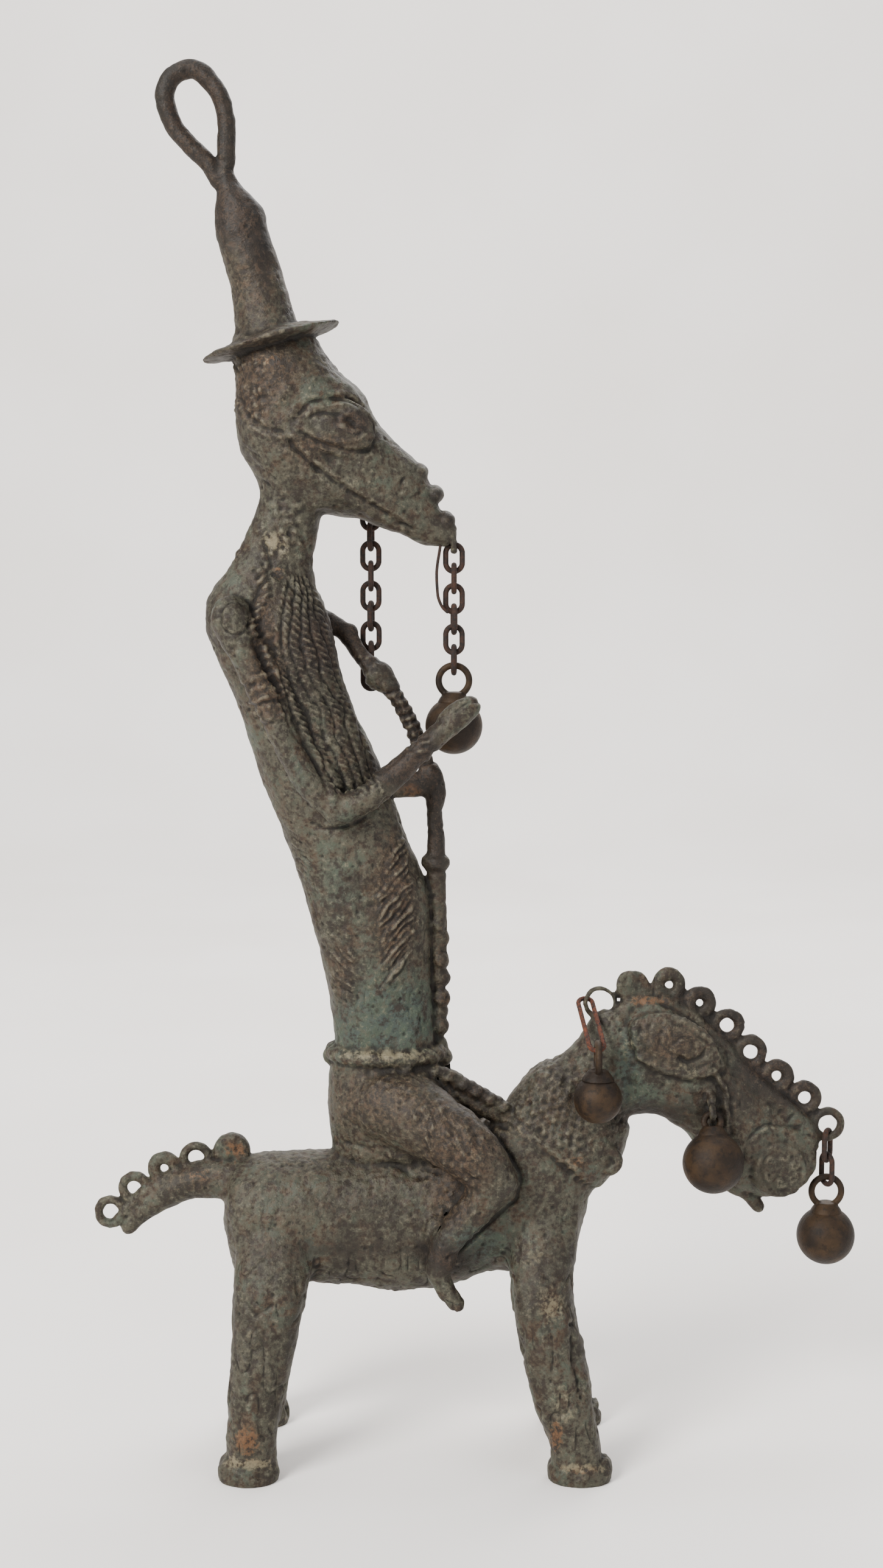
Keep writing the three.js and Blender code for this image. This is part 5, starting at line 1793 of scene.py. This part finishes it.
class Wave:
    """A shader socket that takes part in Python sums."""

    def __init__(self, paint: Paint, socket: NodeSocket) -> None:
        """Wraps a socket of a paint."""
        self.paint, self.socket = paint, socket

    def _sum(self, operation: str, a: Any, b: Any) -> Wave:
        """Adds one Math node."""
        return self.paint.node("ShaderNodeMath", {"operation": operation}, {0: a, 1: b})

    def __add__(self, other: Any) -> Wave:
        """Sum."""
        return self._sum("ADD", self, other)

    __radd__ = __add__

    def __sub__(self, other: Any) -> Wave:
        """Difference."""
        return self._sum("SUBTRACT", self, other)

    def __rsub__(self, other: Any) -> Wave:
        """Difference the other way round."""
        return self._sum("SUBTRACT", other, self)

    def __mul__(self, other: Any) -> Wave:
        """Product."""
        return self._sum("MULTIPLY", self, other)

    __rmul__ = __mul__

    def ramp(self, low: float, high: float) -> Wave:
        """0 below low, 1 above high, smooth between."""
        return self.paint.node(
            "ShaderNodeMapRange", {"interpolation_type": "SMOOTHSTEP", "clamp": True},
            {"Value": self, "From Min": low, "From Max": high},
        )


def linear(red: int, green: int, blue: int) -> Colour:
    """A shader colour from the eight-bit one seen on a screen."""
    shares = [value / 255 for value in (red, green, blue)]
    return (*(
        share / 12.92 if share <= 0.04045 else ((share + 0.055) / 1.055) ** 2.4 for share in shares
    ), 1.0)


class Paint:
    """Makes the nodes of one material."""

    def __init__(self, name: str) -> None:
        """Starts a material with one principled shader."""
        self.material = bpy.data.materials.new(name)
        self.material.use_nodes = True
        self.tree = self.material.node_tree
        self.shader = self.tree.nodes["Principled BSDF"]
        self.place = self.node("ShaderNodeTexCoord", output="Object")

    def node(
        self, kind: str, settings: dict[str, Any] | None = None, inputs: dict | None = None,
        output: Any = 0,
    ) -> Wave:
        """Adds one node with its settings and inputs, and gives the output that is wanted."""
        return Wave(self, added_node(self.tree, kind, settings, inputs).outputs[output])

    def set(self, **values: Any) -> None:
        """Sets inputs of the shader, with _ for a space."""
        for key, value in values.items():
            feed(self.tree, self.shader.inputs[key.replace("_", " ")], value)

    def noise(
        self, scale: float, detail: float = 3.0, rough: float = 0.55, warp: float = 0.0,
        stretch: Any = None,
    ) -> Wave:
        """Noise on Object coordinates, with a scale in lumps a metre."""
        place = self.place
        if stretch is not None:
            place = self.node("ShaderNodeMapping", {}, {"Vector": place, "Scale": stretch})
        return self.node("ShaderNodeTexNoise", {}, {
            "Vector": place, "Scale": scale, "Detail": detail, "Roughness": rough,
            "Distortion": warp,
        })

    def cells(self, scale: float) -> Wave:
        """Distance to the nearest of scattered points."""
        return self.node("ShaderNodeTexVoronoi", {}, {"Vector": self.place, "Scale": scale})

    def stored(self, name: str) -> Wave:
        """A number stored on the mesh's points."""
        return self.node("ShaderNodeAttribute", {"attribute_name": name}, output="Fac")

    def mix(self, share: Any, low: Any, high: Any) -> Wave:
        """One colour turned into another."""
        settings = {"data_type": "RGBA", "clamp_factor": True}
        return self.node("ShaderNodeMix", settings, {0: share, 6: low, 7: high}, output=2)

    def bumped(
        self, height: Wave, strength: float, distance: float, under: Wave | None = None
    ) -> Wave:
        """A normal from a height."""
        inputs: dict[Any, Any] = {"Height": height, "Strength": strength, "Distance": distance}
        if under is not None:
            inputs["Normal"] = under
        return self.node("ShaderNodeBump", {}, inputs)


@dataclass(frozen=True)
class PatinatedBronze:
    """Old bronze with a grey-olive patina, verdigris and brown earth, hollows darkened with dirt
    and painted shade, and ridges lightened with wear and painted highlights.
    """

    olive: Colour = linear(38, 35, 27)
    grey: Colour = linear(62, 60, 49)
    rose: Colour = linear(74, 57, 43)
    pale: Colour = linear(110, 104, 87)
    green: Colour = linear(55, 65, 54)
    blue: Colour = linear(47, 59, 55)
    brown: Colour = linear(57, 42, 28)
    umber: Colour = linear(30, 23, 17)
    black: Colour = linear(13, 10, 8)
    orange: Colour = linear(90, 60, 35)
    cream: Colour = linear(118, 108, 85)

    def material(self) -> Material:
        """Builds the material."""
        paint = Paint("bronze patina")
        mix, stored = paint.mix, paint.stored
        cloud, broad, middle = paint.noise(18, 3), paint.noise(52, 4), paint.noise(170, 5, 0.62)
        fine, dust = paint.noise(430, 4, 0.65), paint.noise(1300, 2)
        blush, long = paint.noise(300, 3, 0.6, 0.4), paint.noise(230, 3, 0.6, 0, (1.0, 1.0, 0.4))
        # The dark attribute: the bronze's own near-black patina, with painted shade under the brim
        # and beneath the belly.
        hollow, dark_and_shade = stored("hollow"), stored("dark")
        green = mix(middle.ramp(0.42, 0.6), self.blue, self.green)
        earth = mix(fine.ramp(0.4, 0.62), self.umber, self.brown)
        ground = mix(middle.ramp(0.4, 0.6), self.brown, self.olive)
        base = mix(broad.ramp(0.4, 0.62), self.olive, ground)
        layers = (
            (cloud * 0.2 + broad * 0.15 + middle * 0.3 + fine * 0.35, 0.44, 0.56, 0.9, self.grey),
            (stored("verdigris") + (middle - 0.5) * 1.5, 0.3, 0.9, 0.8, green),
            (broad * 0.5 + middle * 0.5, 0.53, 0.6, 0.45, green),
            (stored("brown") + (middle - 0.5) * 1.6, 0.25, 0.9, 0.8, earth),
            (stored("ochre") + (fine - 0.5) * 2.2, 0.5, 1.05, 0.8, self.orange),
            (stored("cream") + (fine * 0.5 + middle * 0.5 - 0.5) * 2.6, 0.45, 1, 0.7, self.cream),
            (dark_and_shade + (middle - 0.5) * 0.9, 0.2, 0.85, 0.88, self.umber),
            (fine * 0.5 + dust * 0.25 + middle * 0.25, 0.54, 0.64, 0.3, self.pale),
            (fine * 0.45 + middle * 0.4 + broad * 0.15, 0.5, 0.41, 0.75, self.umber),
            (blush * 0.7 + cloud * 0.3, 0.53, 0.6, stored("brown") * 0.35 + 0.12, self.rose),
            (long * 0.6 + fine * 0.4, 0.48, 0.4, 0.6, self.umber),
            (dark_and_shade + (fine - 0.5) * 1.2 + (middle - 0.5) * 1.6, 0.55, 1.15, 0.8, self.black),
            (dark_and_shade * 0.5 + fine * 0.6 + dust * 0.4, 0.9, 1.1, 0.35, self.rose),
            # Painted shade and dirt in the hollows, and painted highlights and wear on the ridges.
            (hollow + (fine - 0.5) * 0.5, 0.05, 0.7, 0.8, self.black),
            (0.0 - hollow + (fine - 0.5) * 1.2, 0.15, 0.9, 0.36, self.pale),
        )
        for height, low, high, share, colour in layers:
            base = mix(height.ramp(low, high) * share, base, colour)
        rough = 0.5 + fine * 0.2 + hollow.ramp(0.0, 0.5) * 0.15
        normal = paint.bumped(middle * 0.6 + fine * 0.4, 0.7, 0.0012)
        pits = paint.cells(520).ramp(0.0, 0.4)
        normal = paint.bumped(pits * 0.5 + dust * 0.7, 0.6, 0.0004, normal)
        paint.set(
            Base_Color=base, Roughness=rough, Metallic=0.15, Specular_IOR_Level=0.3, Normal=normal
        )
        return paint.material


@dataclass(frozen=True)
class RustyIron:
    """Iron under dark brown rust with orange bloom."""

    dark: Colour = linear(19, 12, 9)
    rust: Colour = linear(43, 25, 15)
    bloom: Colour = linear(82, 46, 24)
    bloom_share: float = 0.35
    name: str = "rusty iron"

    def material(self) -> Material:
        """Builds the material."""
        paint = Paint(self.name)
        broad, middle, fine = paint.noise(160, 3), paint.noise(620, 4, 0.65), paint.noise(2200, 2)
        base = paint.mix(middle.ramp(0.4, 0.6), self.dark, self.rust)
        blooms = (broad * 0.5 + fine * 0.5).ramp(0.5, 0.66) * self.bloom_share
        base = paint.mix(blooms, base, self.bloom)
        normal = paint.bumped(middle * 0.6 + fine * 0.4, 0.7, 0.0005)
        paint.set(Base_Color=base, Roughness=0.72 + fine * 0.2, Metallic=0.25, Normal=normal)
        return paint.material


@dataclass(frozen=True)
class BellMetal:
    """Small bells of brown bronze, dull with darker spots."""

    brown: Colour = linear(27, 19, 12)
    warm: Colour = linear(50, 36, 21)
    dark: Colour = linear(11, 8, 6)
    name: str = "bell bronze"

    def material(self) -> Material:
        """Builds the material."""
        paint = Paint(self.name)
        broad, middle, fine = paint.noise(70, 4), paint.noise(300, 4, 0.6), paint.noise(1500, 3)
        base = paint.mix(broad.ramp(0.38, 0.64), self.brown, self.warm)
        base = paint.mix(middle.ramp(0.5, 0.68) * 0.6, base, self.dark)
        base = paint.mix(fine.ramp(0.55, 0.7) * 0.25, base, self.warm)
        normal = paint.bumped(middle * 0.5 + fine * 0.3, 0.7, 0.0008)
        paint.set(
            Base_Color=base, Roughness=0.5 + fine * 0.22, Metallic=0.2, Specular_IOR_Level=0.22,
            Normal=normal,
        )
        return paint.material


# Chains and bells


@dataclass
class Chains:
    """The iron chains, links and wire."""

    wire: float = 2.8
    width: float = 11.0
    long_size: Triple = (41.0, 9.6, 2.4)
    long_slant: float = 1.04
    long_swing: float = 0.13
    hook_wire: float = 1.5
    hook: Table = (
        (-17.4, -3.4, 465.6), (-19.2, -3.6, 451.4), (-18.7, -3.6, 441.8), (-16.4, -3.4, 435.4),
        (-13.9, -3.2, 432.9),
    )

    def row(
        self, name: str, nodes: Sequence[str], tree: NodeTree, first_turn: float = 0.0,
        wobble: float = 0.0, turn: float = QUARTER,
    ) -> None:
        """Hangs a row of links where its solids are.

        Args:
            name: The piece's name.
            nodes: CAD nodes of the links, from the top.
            tree: The chain's geometry tree.
            first_turn: Turn of the first link about the upright.
            wobble: How much the links turn at random.
            turn: Turn from link to link.
        """
        low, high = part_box(nodes[0])
        piece = grown(name, tree, {
            "Length": (high - low).z, "Width": self.width * MM, "Wire": self.wire * MM,
            "Pitch": low.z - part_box(nodes[1])[0].z, "Count": len(nodes), "Turn": turn,
            "First turn": first_turn, "Wobble": wobble, "Seed": len(nodes),
        })
        piece.data.transform(Matrix.Translation((low + high) / 2))
        settle(piece, nodes)

    def build(self, iron: Material, orange: Material) -> None:
        """Builds the chains, the muzzle links, the long link and the wire.

        Args:
            iron: Finish of all but the long link.
            orange: Finish of the long link.
        """
        tree = chain_tree(iron)
        far, chin, muzzle = (
            [f"{name}_link_{i + 1}" for i in range(count)]
            for name, count in (("far_chain", 9), ("chin_chain", 6), ("muzzle", 2))
        )
        self.row("far_chain", far, tree, wobble=0.12)
        self.row("chin_chain", chin, tree, wobble=0.16)
        self.row("muzzle_links", muzzle, tree, math.pi / 3, turn=math.pi / 3)
        route = [(*point, self.hook_wire / 2) for point in self.hook]
        hook = mesh_of("chin_hook", [limb(route, 12, 0.8)])
        dress(hook, iron)
        settle(hook, ["chin_wire"])
        self.long_link(orange)

    def long_link(self, finish: Material) -> None:
        """The long two-strand link at the horse's neck, laid where its solid is."""
        length, width, wire = self.long_size
        piece = grown("long_link", chain_tree(finish), {
            "Length": length * MM, "Width": width * MM, "Wire": wire * MM, "Pitch": 0.0,
            "Count": 1, "Turn": 0.0, "First turn": 0.0, "Wobble": 0.0, "Seed": 1,
        })
        slant = Matrix.Rotation(-self.long_slant, 4, "X")
        swing = Matrix.Rotation(-self.long_swing, 4, "Y")
        low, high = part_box("neck_link")
        piece.data.transform(Matrix.Translation((low + high) / 2) @ (slant @ swing))
        settle(piece, ["neck_link"])


@dataclass
class Bell:
    """A round bell with a slit below and a cast loop on a short neck above."""

    node: str
    diameter: float
    turn: float = 0.0
    lean: float = 0.0
    wall: float = 1.5
    slit: float = 3.0
    slit_end: float = 53.0
    loop: float = 18.6
    loop_rod: float = 3.4
    voxel: float = 0.5
    rounds: int = 3
    lanes: int = 72
    rows: int = 48

    def shell(self) -> Object:
        """The hollow ball with its slit, the poles at the slit's ends."""
        radius, lanes = self.diameter / 2, self.lanes
        gap = math.asin(self.slit / 2 / radius)
        angles = np.linspace(gap, 2 * math.pi - gap, lanes)
        latitude = np.linspace(-QUARTER, QUARTER, self.rows + 1)
        grid, verts = [], []
        for i, lat in enumerate(latitude):
            x, reach = math.sin(lat) * radius, math.cos(lat)
            if i in (0, self.rows):
                grid.append([len(verts)] * lanes)
                verts.append((x, 0.0, 0.0))
                continue
            grid.append(list(range(len(verts), len(verts) + lanes)))
            for angle in angles:
                verts.append(
                    (x, reach * math.sin(angle) * radius, -reach * math.cos(angle) * radius)
                )
        faces = []
        for i, (row, above) in enumerate(zip(grid[:-1], grid[1:])):
            strips = list(zip(row, row[1:], above[1:], above))
            if abs(latitude[i] + latitude[i + 1]) / 2 > math.radians(self.slit_end):
                strips.append((row[-1], row[0], above[0], above[-1]))
            faces += [tuple(dict.fromkeys(face)) for face in strips]
        faces = [face for face in faces if len(face) > 2]
        piece = mesh_of(self.node + "_ball", [Shell(np.array(verts), faces)])
        thick = piece.modifiers.new("wall", "SOLIDIFY")
        thick.thickness = self.wall * MM
        thick.offset = -1.0
        return evaluated(piece)

    def crown(self) -> Object:
        """The loop and the neck below it, melted together."""
        radius = self.diameter / 2
        rise = radius + self.loop / 2 - 1
        ring = torus(self.loop, self.loop_rod, steps=56, sides=18).turned(self.turn, "Z")
        profile = ((0, -3), (8.2, -2.6), (7.2, -0.6), (5.4, 1.6), (4.6, 2.6), (0, 2.8))
        neck = turned_form([(reach, radius + z) for reach, z in profile], 40)
        crown = fused(mesh_of(self.node + "_crown", [ring.moved(0, 0, rise), neck]), self.voxel)
        skin = Skin(crown.data)
        skin.relax(self.rounds)
        skin.write()
        return crown

    def build(self, finish: Material) -> None:
        """Builds the bell where its solid is."""
        low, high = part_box(self.node)
        reach = self.diameter / 2 * MM
        middle = Vector(((low.x + high.x) / 2, low.y + reach, low.z + reach))
        shell = self.shell()
        self.face_out(shell.data)
        place = Matrix.Translation(middle) @ Matrix.Rotation(-self.lean, 4, "X")
        pieces = (shell, self.crown())
        for piece in pieces:
            piece.data.transform(place)
            dress(piece, finish)
        for piece in pieces:
            settle(piece, [self.node])

    @staticmethod
    def face_out(mesh: Mesh) -> None:
        """Turns the ball's faces outwards if they point in."""
        skin = Skin(mesh)
        out = (skin.normals() * skin.points).sum(1)
        reach = np.linalg.norm(skin.points, axis=1)
        if out[reach > reach.mean()].mean() < 0:
            mesh.flip_normals()


def dress(piece: Object, finish: Material) -> None:
    """Gives a piece one finish."""
    piece.data.materials.clear()
    piece.data.materials.append(finish)


def settle(piece: Object, nodes: Sequence[str]) -> None:
    """Rides a piece on the frame in place of CAD nodes."""
    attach(piece, ROOT)
    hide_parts(*nodes)
    LOG.info("%s stands for %s", piece.name, ", ".join(nodes))


# Studio


@dataclass
class Studio:
    """Camera, floor, backdrop and lights, in metres."""

    eye: Triple = (-0.0168, -1.145, 0.4781)
    pitch: float = 6.545
    focal: float = 3773.8 / 2576 * 36.0
    near_edge: float = -4.0
    bend_start: float = 1.9
    bend: float = 0.7
    top: float = 4.0
    half_width: float = 6.0

    def camera(self) -> None:
        """Sets the camera where the photograph was taken."""
        data = bpy.data.cameras.new("camera")
        data.sensor_width = 36.0
        data.sensor_fit = "AUTO"
        data.lens = self.focal
        camera = placed("camera", data)
        camera.location = self.eye
        camera.rotation_euler = Euler((math.radians(90 - self.pitch), 0, 0))
        bpy.context.scene.camera = camera

    def floor(self) -> None:
        """A pale floor that curves up into a backdrop far behind."""
        path = [(self.near_edge, 0.0), (self.bend_start, 0.0)]
        path += [
            (self.bend_start + self.bend * math.sin(a), self.bend - self.bend * math.cos(a))
            for a in np.linspace(0.15, QUARTER, 12)
        ]
        path.append((self.bend_start + self.bend, self.top))
        edges = (-self.half_width, self.half_width)
        verts = np.array([(x, y, z) for x in edges for y, z in path])
        count = len(path)
        faces = [(i, i + count, i + count + 1, i + 1) for i in range(count - 1)]
        floor = new_piece("floor", verts, faces)
        paint = Paint("pale floor")
        cloud = paint.noise(3.0, 2).ramp(0.3, 0.7)
        tone = paint.mix(cloud, linear(236, 231, 226), linear(241, 237, 233))
        paint.set(Base_Color=tone, Roughness=0.9)
        dress(floor, paint.material)

    def light(
        self, name: str, place: Triple, aim: Triple, size: float, power: float,
        tint: Triple = (1.0, 1.0, 1.0),
    ) -> None:
        """Hangs one soft lamp.

        Args:
            name: The lamp's name.
            place: Where it hangs.
            aim: What it points at.
            size: Its width.
            power: Its strength in watts.
            tint: Its colour.
        """
        data = bpy.data.lights.new(name, "AREA")
        data.shape = "DISK"
        data.size, data.energy, data.color = size, power, tint
        lamp = placed(name, data)
        lamp.location = place
        lamp.rotation_euler = (Vector(aim) - Vector(place)).to_track_quat("-Z", "Y").to_euler()

    def build(self) -> None:
        """Builds the studio."""
        self.camera()
        self.floor()
        self.light("window", (-1.4, -1.7, 1.6), (0, 0, 0.35), 1.1, 120, (1.0, 0.985, 0.96))
        self.light("fill", (1.8, -1.5, 0.9), (0, 0, 0.3), 1.8, 20, (0.95, 0.97, 1.0))
        self.light("back", (0.6, 1.6, 1.7), (0, 0, 0.4), 1.4, 26)
        self.light("wall", (0, 0.7, 2.6), (0, 2.6, 0.9), 2.2, 70)
        world = bpy.data.worlds.new("pale room")
        world.use_nodes = True
        room = world.node_tree.nodes["Background"].inputs
        room["Color"].default_value = (0.86, 0.86, 0.87, 1.0)
        room["Strength"].default_value = 0.85
        bpy.context.scene.world = world


def main() -> None:
    """Builds the whole scene."""
    logging.basicConfig(level=logging.INFO, format="%(message)s")
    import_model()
    Studio().build()
    bronze, iron = PatinatedBronze().material(), RustyIron().material()
    orange = RustyIron(
        rust=linear(78, 38, 20), bloom=linear(126, 64, 31), bloom_share=0.55, name="orange rust"
    ).material()
    bells = BellMetal().material()
    for piece in Casting(Horse(), Rider()).build():
        dress(piece, bronze)
        settle(piece, ["horse_and_rider"])
    Chains().build(iron, orange)
    for bell in (
        Bell("chin_bell", 28.6), Bell("muzzle_bell", 29.6),
        Bell("jaw_bell", 30.6, lean=0.33, loop=11.6),
        Bell("neck_bell", 24.0, turn=QUARTER, lean=0.05),
    ):
        bell.build(bells)


if __name__ == "__main__":
    main()
